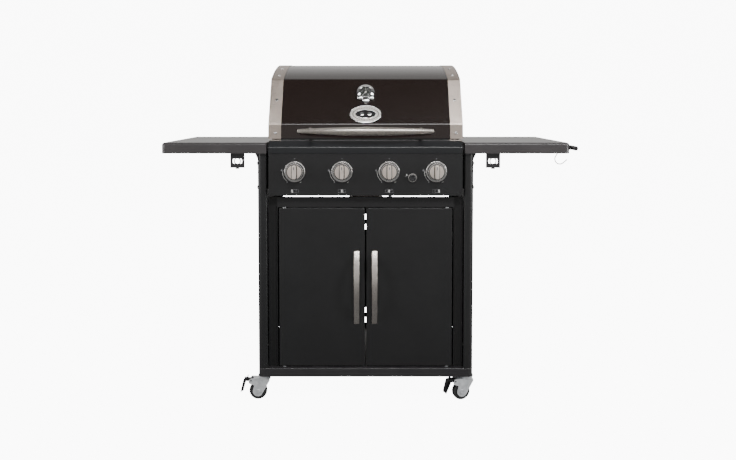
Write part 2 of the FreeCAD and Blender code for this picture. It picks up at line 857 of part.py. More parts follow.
def firebox():
    """Deep tub, open at the top, with ears to the side panels and tray rails below."""
    y = ("firebox_front", "firebox_back")
    body = block(("-firebox_half", "firebox_half"), y, ("firebox_low", "firebox_top"))
    corners = [(f"{sign}firebox_half", place) for sign in SIDES.values() for place in y]
    soften(body, edges(body, "Z", *corners), "firebox_round")
    soften(body, rim_edges(body, "Z", "firebox_low"), "firebox_round / 2")
    hollow(body, flat_faces(body, ("Z", "firebox_top")), "firebox_wall")
    front, back = "firebox_front + firebox_wall", "firebox_back - firebox_wall"
    pieces = [body]
    for z, x in (("grate_low", "firebox_half - 2 * firebox_round"), ("tamer_low", "knob_far + tamer_half")):
        height = (f"{z} - firebox_wall", z)
        pieces.append(box((f"-({x})", x), (front, f"{front} + ledge_wide"), height))
        pieces.append(box((f"-({x})", x), (f"{back} - ledge_wide", back), height))
    for sign in SIDES.values():
        lip = sorted_span(sign, "rack_half - rack_lip", "firebox_half - firebox_wall")
        lip_height = ("firebox_top - firebox_wall", "firebox_top")
        pieces.append(box(lip, ("rack_front", "rack_back - rack_lip"), lip_height))
        ear = sorted_span(sign, "firebox_half", "cart_half - panel_wall")
        for y_low in ("firebox_front + 20", "firebox_back - 20 - firebox_wall"):
            pieces.append(box(ear, (y_low, f"{y_low} + firebox_wall"), ("bolt_low - 10", "bolt_high + 15")))
        web = sorted_span(sign, "tray_rim_half + 2", "tray_rim_half + 2 + tray_wall")
        lip = sorted_span(sign, "tray_half + 2", "tray_rim_half + 2 + tray_wall")
        rail_y = ("tray_front - 10", "firebox_back - firebox_round")
        floor = "tray_rim - tray_wall - face_gap"
        pieces.append(box(web, rail_y, (f"{floor} - tray_wall", "firebox_low")))
        pieces.append(box(lip, rail_y, (f"{floor} - tray_wall", floor)))
    drain = rod("Z", ("0", "drain_y"), "drain_radius", ("firebox_low - 1", "firebox_low + 5"))
    mouth_y = ("firebox_front - 1", "firebox_front + 5")
    mouths = [rod("Y", (x, "burner_z"), "burner_mouth + running_gap", mouth_y) for x in KNOB_PLACES]
    finish(cut(fuse(*pieces), drain, *mouths), "firebox")


def burners():
    """Four tube burners, each with a narrow mouth and a row of flame ports on each side."""
    tubes = []
    for x in KNOB_PLACES:
        place = (x, "burner_z")
        mouth = rod("Y", place, "burner_mouth", ("burner_front", "burner_step"))
        barrel = rod("Y", place, "burner_radius", ("burner_step", "burner_back"))
        peg = rod("Y", place, "spindle_radius", ("burner_back", "firebox_back - firebox_wall"))
        inner_mouth = rod("Y", place, "burner_mouth - burner_wall", ("burner_front - 1", "burner_step + 2"))
        inner_y = ("burner_step + burner_wall", "burner_back - 2")
        inner = rod("Y", place, "burner_radius - burner_wall", inner_y)
        ports = [rod("X", (f"burner_step + 30 + {20 * step}", "burner_z"), "1.5",
                     (f"{x} - burner_radius - 1", f"{x} + burner_radius + 1")) for step in range(16)]
        tubes.append(cut(fuse(mouth, barrel, peg), inner_mouth, inner, *ports))
    finish(group(*tubes), "burners")


def flame_tamers():
    """Folded roof-shaped sheets that keep fat off the burners."""
    tents = []
    slope = "(tamer_top - tamer_low) / tamer_half"
    for x in KNOB_PLACES:
        points = [
            (f"{x} - tamer_half", "tamer_low"),
            (f"{x} - tamer_half + 2 / ({slope})", "tamer_low"),
            (x, "tamer_top - 2"),
            (f"{x} + tamer_half - 2 / ({slope})", "tamer_low"),
            (f"{x} + tamer_half", "tamer_low"),
            (x, "tamer_top"),
        ]
        tents.append(prism("XZ_Plane", points, ("grate_front", "grate_back")))
    finish(group(*tents), "flame_tamers")


def grate(side):
    """A cast cooking grate: a frame filled with bars."""
    sign = SIDES[side]
    height = ("grate_low", "grate_low + grate_thick")
    plate = box(sorted_span(sign, "1", "grate_half"), ("grate_front", "grate_back"), height)
    count = 15
    pitch = f"(grate_half - 1 - grate_bar) / {count}"
    slots = []
    for step in range(count):
        near = f"1 + grate_bar + {step} * {pitch}"
        front_row = ("grate_front + grate_bar", "-grate_bar / 2")
        back_row = ("grate_bar / 2", "grate_back - grate_bar")
        for y in (front_row, back_row):
            x = sorted_span(sign, near, f"{near} + {pitch} - grate_bar")
            slots.append(box(x, y, ("grate_low - 1", "grate_low + grate_thick + 1")))
    finish(cut(plate, *slots), f"grate_{side}")


def warming_rack():
    """A wire rack on four legs that stand on the firebox rim."""
    long = ("-rack_half", "rack_half")
    wires = [rod("X", (y, "rack_z"), "rack_wire", long) for y in ("rack_front", "rack_back")]
    for sign in SIDES.values():
        x = f"{sign}rack_half"
        wires.append(rod("Y", (x, "rack_z"), "rack_wire", ("rack_front", "rack_back")))
        for y in ("rack_front + 10", "rack_back - 20"):
            wires.append(rod("Z", (x, y), "rack_wire", ("firebox_top", "rack_z")))
    for step in range(1, 20):
        wires.append(rod("Y", (f"rack_half * {step / 10 - 1:.1f}", "rack_z"), "rack_wire / 1.5",
                         ("rack_front", "rack_back")))
    finish(fuse(*wires), "warming_rack")


def rounded_block(half, y, z, radius):
    """A block about the middle plane with rounded upright corners."""
    body = block((f"-({half})", half), y, z)
    corners = [(f"{sign}({half})", place) for sign in SIDES.values() for place in y]
    return soften(body, edges(body, "Z", *corners), radius)


def drip_tray():
    """A pan whose rim slides on the rails under the firebox."""
    y = ("tray_front", "tray_back")
    inner_y = ("tray_front + tray_wall", "tray_back - tray_wall")
    pan = rounded_block("tray_half", y, ("tray_low", "tray_rim"), "column_lip_round")
    inside = rounded_block("tray_half - tray_wall", inner_y, ("tray_low + tray_wall", "tray_rim + 1"),
                           "column_lip_round - tray_wall")
    height = ("tray_rim - tray_wall", "tray_rim")
    rim = box(("-tray_rim_half", "tray_rim_half"), ("tray_front", "tray_back + 1"), height)
    grip = box(("-25", "25"), ("tray_back", "tray_back + 22"), height)
    finish(cut(fuse(pan, rim, grip), inside), "drip_tray")


# ---------------------------------------------------------------- side shelves

def shelf(side):
    """A pressed shelf with a deep folded edge, open underneath."""
    sign = SIDES[side]
    deep = ("-shelf_deep_half", "shelf_deep_half")
    body = block(sorted_span(sign, "shelf_inner", "shelf_reach"), deep, ("shelf_low", "shelf_top"))
    outer = f"{sign}shelf_reach"
    soften(body, edges(body, "Z", (outer, deep[0]), (outer, deep[1])), "shelf_corner")
    inner_edge = rim_edges(body, "X", f"{sign}shelf_inner")
    rim = [name for name in rim_edges(body, "Z", "shelf_top") if name not in inner_edge]
    soften(body, rim, "shelf_nose")
    finish(hollow(body, flat_faces(body, ("Z", "shelf_low")), "shelf_wall"), f"shelf_{side}")


def shelf_brackets():
    """Arms under the shelves whose feet stand against the cart's sides."""
    arms = []
    under = "shelf_top - shelf_wall"
    for sign in SIDES.values():
        points = [
            (f"{sign}cart_half", "arm_foot"),
            (f"{sign}(cart_half + gusset_reach)", "shelf_low"),
            (f"{sign}(cart_half + gusset_reach)", "shelf_low + 8"),
            (f"{sign}(shelf_reach - arm_short)", f"{under} - 10"),
            (f"{sign}(shelf_reach - arm_short)", under),
            (f"{sign}cart_half", under),
        ]
        for y in ("-arm_offset", "arm_offset"):
            arms.append(prism("XZ_Plane", points, (f"{y} - arm_thick / 2", f"{y} + arm_thick / 2")))
    finish(group(*arms), "shelf_brackets")


def accessory_brackets():
    """A hanging plate under each shelf, with a round hole and two curved slots."""
    plates = []
    for x in ("-tag_left", "tag_right"):
        y = ("tag_front", "tag_front + tag_thick")
        plate = box((f"{x} - tag_half", f"{x} + tag_half"), y, ("tag_low", "shelf_top - shelf_wall"))
        tab = box((f"{x} - 6", f"{x} + 6"), y, ("tag_low - 4", "tag_low"))
        through = ("tag_front - 1", "tag_front + tag_thick + 1")
        place = (x, "tag_hole_z")
        hole = rod("Y", place, "tag_hole", through)
        ring = tube("Y", place, "tag_hole + 7", "tag_hole + 3", through)
        window = box((f"{x} - tag_half", f"{x} + tag_half"), through, ("tag_hole_z - 8", "tag_hole_z + 8"))
        plates.append(cut(fuse(plate, tab), hole, common(ring, window)))
    finish(group(*plates), "accessory_brackets")


def tool_rail():
    """A capped tube along the right-hand shelf's end, on two bracket arms."""
    place = (RAIL_X, "rail_z")
    cap = 4
    deep = ("-shelf_deep_half", "shelf_deep_half")
    pieces = [tube("Y", place, "rail_radius", "rail_radius - rail_wall", deep)]
    for end in ((deep[0], f"{deep[0]} + {cap}"), (f"{deep[1]} - {cap}", deep[1])):
        pieces.append(tube("Y", place, "rail_radius - rail_wall", "2", end))
    for y in ("-rail_arm_offset", "rail_arm_offset"):
        span = (f"{y} - 1.5", f"{y} + 1.5")
        plate = box(("shelf_reach", RAIL_X), span, ("rail_z - 7", "rail_z + 7"))
        foot_x = ("shelf_reach", "shelf_reach + 2")
        foot = box(foot_x, (f"{y} - 10", f"{y} + 10"), ("rail_z - 12", "rail_z + 9"))
        bore = rod("Y", place, "rail_radius", (f"{y} - 2", f"{y} + 2"))
        pieces.append(cut(fuse(plate, foot), bore))
    finish(group(*pieces), "tool_rail")


def s_hook():
    """A bent wire hook that hangs on the tool rail and swings about it."""
    lean = math.radians(-value("hook_lean"))
    loop = value("rail_radius + hook_play + hook_wire")
    bend = value("hook_bend")
    centre = spot(RAIL_X, "hook_y", "rail_z")

    def around(middle, radius, angle):
        return middle + Vector(math.cos(angle), 0, math.sin(angle)) * radius

    def arc(middle, radius, start, end):
        points = [around(middle, radius, start + (end - start) * part) for part in (0, 0.5, 1)]
        return Part.Arc(*points).toShape()

    tail, tip = math.radians(215), math.radians(310)
    leave = around(centre, loop, lean)
    stem = Vector(math.sin(lean), 0, -math.cos(lean)) * value("hook_stem")
    arrive = leave + stem
    middle = around(arrive, bend, lean)
    last = around(middle, bend, tip)
    end = last + Vector(-math.sin(tip), 0, math.cos(tip)) * value("hook_tip")
    path = Part.Wire([
        arc(centre, loop, tail, lean),
        Part.LineSegment(leave, arrive).toShape(),
        arc(middle, bend, math.pi + lean, tip),
        Part.LineSegment(last, end).toShape(),
    ])
    start = around(centre, loop, tail)
    along = Vector(math.sin(tail), 0, -math.cos(tail))
    section = Part.Wire(Part.makeCircle(value("hook_wire"), start, along))
    finish(shaped(path.makePipeShell([section], True, False), "Hook"), "s_hook")


# ---------------------------------------------------------------- hood

def hood_outline(inset):
    """The hood's section, drawn a given distance inside its outer skin."""
    points = [
        ("hood_low_y", "hood_low_z"),
        ("bend_y", "bend_z"),
        ("crease_y", "crease_z", "roof_radius"),
        ("roof_back_y", "roof_back_z"),
        ("hood_rear", "hood_rear_z"),
    ]
    if inset == "0":
        return points
    shifts = ((1.15, 1), (1, -0.32), (0.72, -0.82), (-0.85, -1), (-1.2, 1))
    moved = []
    for point, (right, up) in zip(points, shifts):
        place = (f"{point[0]} + {right} * {inset}", f"{point[1]} + {up} * {inset}")
        moved.append(place + tuple(f"{radius} - {inset}" for radius in point[2:]))
    return moved


def hood_skin(x, inset, openings):
    """A length of the hood's folded skin, open below and at the given end faces."""
    points = hood_outline(inset)
    body = prism("YZ_Plane", points, x)
    for number, radius in ((1, "bend_round"), (2, "crease_round"), (3, "roof_back_round")):
        soften(body, edges(body, "X", points[number][:2]), radius)
    faces = flat_faces(body, *openings)
    faces += [name for name in slanted_floor(body, points) if name not in faces]
    return hollow(body, faces, "hood_wall")


def slanted_floor(body, points):
    """The face that joins the outline's first and last points."""
    middle = (value(points[0][1]) + value(points[-1][1])) / 2
    for number, face in enumerate(body.Shape.Faces, start=1):
        if abs(face.CenterOfMass.z - middle) < 1 and face.BoundBox.ZLength < 5:
            return [f"Face{number}"]
    raise RuntimeError("The hood has no floor to open")


def hood_shell():
    """The enamelled middle sheet of the hood."""
    ends = (("X", "-sheet_half"), ("X", "sheet_half"))
    body = hood_skin(("-sheet_half", "sheet_half"), "hood_inset", ends)
    hole = on_panel(rod("Z", ("0", "0"), "spindle_radius", ("-10", "5")), "gauge_z")
    finish(cut(body, hole), "hood_shell")


def hood_end(side):
    """Closed end of the hood with the band that wraps round its edge."""
    sign = SIDES[side]
    inner = "hood_half - band_wide"
    body = hood_skin(sorted_span(sign, inner, "hood_half"), "0", (("X", f"{sign}({inner})"),))
    hole = rod("X", ("hood_hinge_y", "hood_hinge_z"), "hood_pin + running_gap",
               sorted_span(sign, "hood_half - 4", "hood_half + 1"))
    finish(cut(body, hole), f"hood_end_{side}")


def hood_hinges():
    """A bracket on each side of the firebox and the pin that carries the hood."""
    pieces = []
    place = ("hood_hinge_y", "hood_hinge_z")
    for sign in SIDES.values():
        x = sorted_span(sign, "firebox_half", "firebox_half + 3")
        foot = box(x, ("firebox_back - 60", "firebox_back"), ("hood_hinge_z - 25", "hood_hinge_z + 10"))
        arm = box(x, ("firebox_back - 1", "hood_hinge_y + 9"), ("hood_hinge_z - 10", "hood_hinge_z + 10"))
        boss_x = sorted_span(sign, "firebox_half + 3", "hood_half - hood_wall - face_gap")
        boss = rod("X", place, "7", boss_x)
        bore = rod("X", place, "hood_pin", sorted_span(sign, "firebox_half - 1", "hood_half"))
        shank = rod("X", place, "hood_pin", sorted_span(sign, "firebox_half", "hood_half + face_gap"))
        head = rod("X", place, "7", sorted_span(sign, "hood_half + face_gap", "hood_half + 3"))
        pieces += [cut(fuse(foot, arm, boss), bore), fuse(shank, head)]
    finish(group(*pieces), "hood_hinges")


def hood_handle():
    """A bowed handle bar, thickest in the middle, on two posts."""
    stations = []
    count = 9
    for step in range(count):
        part = 2 * step / (count - 1) - 1
        swell = f"(1 - {part ** 2:.4f})"
        ring = DOC.addObject("Part::Circle", "Ring")
        ring.Placement = Placement(Vector(), AXIS_TURNS["X"])
        bind(ring, "Placement.Base.x", f"bar_half * {part:.3f}")
        bind(ring, "Placement.Base.y", f"bar_end_y + (bar_front - bar_end_y) * {swell}")
        bind(ring, "Placement.Base.z", "bar_z")
        bind(ring, "Radius", f"bar_end_radius + (bar_mid_radius - bar_end_radius) * {swell}")
        stations.append(ring)
    bar = DOC.addObject("Part::Loft", "Bar")
    bar.Sections = stations
    bar.Solid = True
    post_y = "bar_end_y + (bar_front - bar_end_y) * 0.3"
    posts = [rod("Y", (x, "bar_z"), "post_radius", (post_y, "bend_y - 3")) for x in ("-post_x", "post_x")]
    tools = [bar] + posts
    skin = prism("YZ_Plane", hood_outline("hood_inset"), ("-sheet_half", "sheet_half"))
    finish(cut(fuse(*tools), skin), "hood_handle")


def on_panel(item, height, lift="hood_inset"):
    """Stand a piece drawn about its own +Z axis on the hood's sloping front panel."""
    share = f"(({height} - bend_z) / (crease_z - bend_z))"
    item_holder = group(item)
    item_holder.Placement = Placement(Vector(), Rotation(Vector(1, 0, 0), 45))
    bind(item_holder, "Placement.Rotation.Angle", PANEL_TILT)
    bind(item_holder, "Placement.Base.y",
         f"bend_y + (crease_y - bend_y) * {share} + {lift} * sin({PANEL_TILT})")
    bind(item_holder, "Placement.Base.z", f"{height} - {lift} * cos({PANEL_TILT})")
    return item_holder


def thermometer():
    """Round gauge housing with a chin below it, a dial plate, a glass and a probe."""
    lift = "0.4"
    housing = rod("Z", ("0", "0"), "gauge_radius", (lift, "gauge_thick"))
    chin = rod("Z", ("0", "-19"), "20", (lift, "gauge_thick - 3"))
    neck = rod("Z", ("0", "-36"), "9", (lift, "gauge_thick - 5"))
    window = rod("Z", ("0", "0"), "gauge_window", ("4", "gauge_thick + 1"))
    glass = rod("Z", ("0", "0"), "gauge_window", ("gauge_thick - 2.5", "gauge_thick - 1"))
    probe = rod("Z", ("0", "0"), "3", ("-60", lift))
    pivot = rod("Z", ("0", "0"), "1", ("4", "7.5"))
    pieces = group(fuse(cut(fuse(housing, chin, neck), window), pivot), glass, probe)
    finish(group(on_panel(pieces, "gauge_z")), "thermometer")


def thermometer_needle():
    blade = box(("-0.8", "0.8"), ("-6", "gauge_window - 5"), ("5", "6"))
    hub = rod("Z", ("0", "0"), "3", ("5", "6.5"))
    bore = rod("Z", ("0", "0"), "1 + running_gap", ("4", "8"))
    cold = group(cut(fuse(blade, hub), bore))
    cold.Placement = Placement(Vector(), Rotation(Vector(0, 0, 1), 135))
    finish(group(on_panel(cold, "gauge_z")), "thermometer_needle")


def hood_badge():
    """A plain oval plate with a raised rim and a darker oval centre."""
    def oval(wide, tall, low, high):
        ring = DOC.addObject("Part::Ellipse", "Oval")
        bind(ring, "MajorRadius", wide)
        bind(ring, "MinorRadius", tall)
        bind(ring, "Placement.Base.z", low)
        plate = DOC.addObject("Part::Extrusion", "Plate")
        plate.Base = ring
        plate.DirMode = "Custom"
        plate.Dir = Vector(0, 0, 1)
        plate.Solid = True
        bind(plate, "LengthFwd", f"({high}) - ({low})")
        return plate

    plate = oval("badge_half_wide", "badge_half_tall", "0.4", "badge_thick")
    well = oval("badge_half_wide - 4", "badge_half_tall - 4", "badge_thick - 1", "badge_thick + 1")
    low, high = "badge_thick - 1", "badge_thick - 0.2"
    centre = oval("badge_half_wide * 0.63", "badge_half_tall * 0.45", low, high)
    finish(group(on_panel(group(cut(plate, well), centre), "badge_z")), "hood_badge")


def hood_rivets():
    """Four domed rivets down each end band."""
    places = [
        (spot("0", "hood_low_y", "hood_low_z"), spot("0", "bend_y", "bend_z"), 0.4),
        (spot("0", "bend_y", "bend_z"), spot("0", "crease_y", "crease_z"), 0.526),
    ]
    spots = []
    for start, end, share in places:
        run = end - start
        spots.append((start + run * share, Vector(0, -run.z, run.y).normalize()))
    first, last = spot("0", "crease_y", "crease_z"), spot("0", "roof_back_y", "roof_back_z")
    half = (last - first) * 0.5
    radius = value("roof_radius")
    inward = Vector(0, half.z, -half.y).normalize()
    middle = first + half + inward * math.sqrt(radius ** 2 - half.Length ** 2)
    for share in (0.12, 0.42):
        outward = (first + half * 2 * share - middle).normalize()
        spots.append((middle + outward * radius, outward))
    rivets = []
    wide, tall = value("rivet_radius"), value("rivet_tall")
    for sign in (-1, 1):
        for place, outward in spots:
            at = place + Vector(sign * value("rivet_x"), 0, 0)
            head = Part.makeCylinder(wide, tall, at, outward)
            outer = max(head.Edges, key=lambda edge: edge.CenterOfMass.dot(outward))
            rivets.append(head.makeFillet(tall / 2, [outer]))
    finish(shaped(Part.makeCompound(rivets), "Rivets"), "hood_rivets")


# ---------------------------------------------------------------- casters, drawn about their kingpins

CASTERS = {
    "front_left": ("-king_x", "-king_y"),
    "front_right": ("king_x", "-king_y"),
    "rear_left": ("-king_x", "king_y"),
    "rear_right": ("king_x", "king_y"),
}


def stand(item, label, corner):
    """Stand a caster's piece at its corner, turned about its kingpin as drawn."""
    x, y = CASTERS[corner]
    holder = group(item)
    holder.Placement = Placement(Vector(), Rotation(Vector(0, 0, 1), 1))
    turn = "front_right_turn" if corner == "front_right" else "0"
    bind(holder, "Placement.Rotation.Angle", turn)
    finish_at(holder, label, x, y, "0")


def caster_mounts():
    """Plates welded in the base, each with a race and the stud its caster turns on."""
    pieces = []
    crown = "base_low - head_gap - head_tall"
    for x, y in CASTERS.values():
        inward_x = "-1" if value(x) > 0 else "1"
        inner = f"{x} + {inward_x} * 45"
        outer = f"{x} - {inward_x} * 8"
        plate_x = tuple(sorted((inner, outer), key=value))
        plate = box(plate_x, (f"{y} - 22", f"{y} + 22"), ("base_low", "base_low + 3"))
        race = rod("Z", (x, y), "head_radius + 2", ("base_low - head_gap + face_gap", "base_low"))
        stud = rod("Z", (x, y), "stud_radius", (f"{crown} - 6", "base_low + 14"))
        rivet = rod("Z", (x, y), "stud_radius + 3", (f"{crown} - 6", f"{crown} - fork_plate - face_gap"))
        nut = rod("Z", (x, y), "stud_radius + 4", ("base_low + 3", "base_low + 10"))
        pieces.append(fuse(plate, race, stud, rivet, nut))
    finish(group(*pieces), "caster_mounts")


def caster_fork(corner):
    """A pressed fork with its swivel head and the axle bolt."""
    leg = [
        ("head_radius - 2", FORK_TOP),
        ("head_radius", f"{FORK_TOP} - 7"),
        ("-trail + lobe_radius - 1", "wheel_radius - 6"),
        ("-trail", "wheel_radius"),
        ("-trail - lobe_radius + 1", "wheel_radius + 6"),
        (f"{PEDAL_X} + 11", f"{PEDAL_Z} - 16"),
        (f"{PEDAL_X} - 6", f"{PEDAL_Z} - 10"),
        (f"{PEDAL_X} - 8", f"{PEDAL_Z} - 4"),
        (f"{PEDAL_X} - 2", FORK_TOP),
    ]
    pieces = []
    plates = (("-fork_inner - fork_plate", "-fork_inner"), ("fork_inner", "fork_inner + fork_plate"))
    for low, high in plates:
        pieces.append(prism("XZ_Plane", leg, (low, high)))
        pieces.append(rod("Y", ("-trail", "wheel_radius"), "lobe_radius", (low, high)))
    half = "fork_inner + fork_plate"
    crown_z = (f"{FORK_TOP} - fork_plate", FORK_TOP)
    pieces.append(box(("-36", "head_radius - 2"), (f"-({half})", half), crown_z))
    pieces.append(rod("Z", ("0", "0"), "head_radius", (FORK_TOP, HEAD_TOP)))
    bolt_line = ("-trail", "wheel_radius")
    bores = [rod("Z", ("0", "0"), "stud_radius + running_gap", (f"{FORK_TOP} - 5", f"{HEAD_TOP} + 1")),
             rod("Y", bolt_line, "axle_radius", (f"-({half}) - 1", f"{half} + 1"))]
    if corner.startswith("front"):
        pin_y = (f"-({half}) - 1", f"{half} + 1")
        bores.append(rod("Y", (PEDAL_X, PEDAL_Z), "pedal_pin + running_gap", pin_y))
    fork = cut(fuse(*pieces), *bores)
    shank = rod("Y", bolt_line, "axle_radius", (f"-({half})", half))
    heads = [rod("Y", bolt_line, "axle_radius + 3", (f"-({half}) - 3", f"-({half})")),
             rod("Y", bolt_line, "axle_radius + 3", (half, f"{half} + 3"))]
    stand(group(fork, fuse(shank, *heads)), f"caster_fork_{corner}", corner)


def caster_wheel(corner):
    """A tyre on a hub, turned about the axle."""
    line = ("-trail", "wheel_radius")
    span = ("-wheel_half", "wheel_half")
    hub = tube("Y", line, "hub_radius", "axle_radius + running_gap", span)
    profile = [
        ("-wheel_half", "hub_radius"),
        ("wheel_half", "hub_radius"),
        ("wheel_half", "wheel_radius - tyre_round", "-tyre_round * 1.001"),
        ("wheel_half - tyre_round", "wheel_radius"),
        ("-wheel_half + tyre_round", "wheel_radius", "-tyre_round * 1.001"),
        ("-wheel_half", "wheel_radius - tyre_round"),
    ]
    tyre = turned("XY_Plane", profile, "H_Axis")
    tyre.Placement = Placement(Vector(), Rotation(Vector(0, 0, 1), 90))
    bind(tyre, "Placement.Base.x", "-trail")
    bind(tyre, "Placement.Base.z", "wheel_radius")
    stand(group(hub, tyre), f"caster_wheel_{corner}", corner)


def brake_pedal(corner):
    """A rocking plate on a pin through the fork."""
    plate = prism("XZ_Plane", [
        (f"{PEDAL_X} - 11", f"{PEDAL_Z} + 10"),
        (f"{PEDAL_X} - 32", f"{PEDAL_Z} - 38"),
        (f"{PEDAL_X} - 32 - pedal_thick", f"{PEDAL_Z} - 38"),
        (f"{PEDAL_X} - 11 - pedal_thick", f"{PEDAL_Z} + 10"),
    ], ("-pedal_half", "pedal_half"))
    arm = box((f"{PEDAL_X} - 16", f"{PEDAL_X} + 6"), ("-pedal_half + 3.5", "pedal_half - 3.5"),
              (f"{PEDAL_Z} - 3", f"{PEDAL_Z} + 3"))
    half = "fork_inner + fork_plate"
    pin = rod("Y", (PEDAL_X, PEDAL_Z), "pedal_pin", (f"-({half})", half))
    stand(fuse(plate, arm, pin), f"brake_pedal_{corner}", corner)


# ---------------------------------------------------------------- build, check, write

def build():
    """Make every sub-part of the grill."""
    for make in (base_tray, back_panel, door_frame, door_hinge_pins, door_catches, frame_bolts,
                 control_panel, front_trim, knob_bezels, gas_valves, gas_manifold, ignition_set,
                 igniter_button, firebox, burners, flame_tamers, warming_rack, drip_tray,
                 shelf_brackets, accessory_brackets, tool_rail, s_hook, hood_shell, hood_hinges,
                 hood_handle, thermometer, thermometer_needle, hood_badge, hood_rivets,
                 caster_mounts):
        make()
    for side in SIDES:
        for make in (side_panel, door, door_handle, grate, shelf, hood_end):
            make(side)
    for number, x in enumerate(KNOB_PLACES, start=1):
        knob(number, x)
        valve_collar(number, x)
    for corner in CASTERS:
        caster_fork(corner)
        caster_wheel(corner)
        if corner.startswith("front"):
            brake_pedal(corner)
    DOC.recompute()


def check():
    """Stop if any object failed or any sub-part has no sound shape."""
    for item in DOC.Objects:
        if {"Invalid", "Error"} & set(item.State):
            raise RuntimeError(f"{item.Name} ({item.Label}) failed: {item.State}")
    for label, item in NODES.items():
        if item.Shape.isNull() or not item.Shape.isValid():
            raise RuntimeError(f"{label} has no valid shape")


def write():
    """Write one file for each sub-part."""
    os.makedirs("parts", exist_ok=True)
    for label, item in NODES.items():
        item.Shape.exportStep(os.path.join("parts", f"{label}.step"))
        box_of = item.Shape.BoundBox
        print(f"{label}: {len(item.Shape.Solids)} solids, {item.Shape.Volume / 1000:.1f} cm3, "
              f"x {box_of.XMin:.1f}..{box_of.XMax:.1f} y {box_of.YMin:.1f}..{box_of.YMax:.1f} "
              f"z {box_of.ZMin:.1f}..{box_of.ZMax:.1f}")


fill_sheet()
build()
check()
write()
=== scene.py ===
"""The looks of a gas barbecue grill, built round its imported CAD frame."""
from __future__ import annotations

import json
import logging
import math
from dataclasses import dataclass, field
from enum import Enum

import bpy
from mathutils import Matrix, Vector

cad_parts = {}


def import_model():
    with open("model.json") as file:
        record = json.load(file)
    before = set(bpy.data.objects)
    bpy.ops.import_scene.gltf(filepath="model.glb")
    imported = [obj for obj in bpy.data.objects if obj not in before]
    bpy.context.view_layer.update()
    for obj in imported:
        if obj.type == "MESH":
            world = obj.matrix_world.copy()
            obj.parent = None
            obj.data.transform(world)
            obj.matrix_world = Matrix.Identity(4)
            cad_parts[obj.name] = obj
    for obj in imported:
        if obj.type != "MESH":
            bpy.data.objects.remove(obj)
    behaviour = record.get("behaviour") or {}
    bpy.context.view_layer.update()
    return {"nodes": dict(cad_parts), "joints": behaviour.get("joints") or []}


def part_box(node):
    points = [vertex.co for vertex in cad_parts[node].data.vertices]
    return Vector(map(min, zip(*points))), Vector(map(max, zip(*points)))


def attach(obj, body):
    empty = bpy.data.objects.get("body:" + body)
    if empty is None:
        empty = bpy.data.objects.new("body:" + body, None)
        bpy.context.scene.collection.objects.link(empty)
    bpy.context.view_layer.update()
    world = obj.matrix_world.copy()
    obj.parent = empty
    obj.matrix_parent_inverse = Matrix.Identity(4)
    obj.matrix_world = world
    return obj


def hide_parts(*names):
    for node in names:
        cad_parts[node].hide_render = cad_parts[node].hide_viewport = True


LOG = logging.getLogger("grill")
MM = 0.001
SIDES = ("left", "right")
CORNERS = ("front_left", "front_right", "rear_left", "rear_right")
KNOBS = (1, 2, 3, 4)


# ---------------------------------------------------------------- colours and node trees

def linear(code: str) -> tuple[float, float, float, float]:
    """Turn an sRGB hex colour into linear red, green, blue and alpha.

    Args:
        code: six hex digits.

    Returns:
        The linear colour with an alpha of one.
    """
    parts = [int(code[place:place + 2], 16) / 255 for place in (0, 2, 4)]
    red, green, blue = (p / 12.92 if p <= 0.04045 else ((p + 0.055) / 1.055) ** 2.4 for p in parts)
    return red, green, blue, 1.0


def per_metre(size_mm: float) -> float:
    """The texture scale whose cells are a given size in millimetres."""
    return 1.0 / (size_mm * MM)


def add_node(owner: bpy.types.Material | bpy.types.World, kind: str, settings: dict | None = None,
             links: dict | None = None) -> bpy.types.Node:
    """Add one shader node.

    Args:
        owner: the material or world whose tree takes the node.
        kind: the node's Blender type name.
        settings: values by property name, or by input name or number.
        links: source sockets by input name or number.

    Returns:
        The new node.
    """
    node = owner.node_tree.nodes.new(kind)
    for name, setting in (settings or {}).items():
        if isinstance(name, str) and hasattr(node, name):
            setattr(node, name, setting)
        else:
            node.inputs[name].default_value = setting
    for name, socket in (links or {}).items():
        owner.node_tree.links.new(socket, node.inputs[name])
    return node


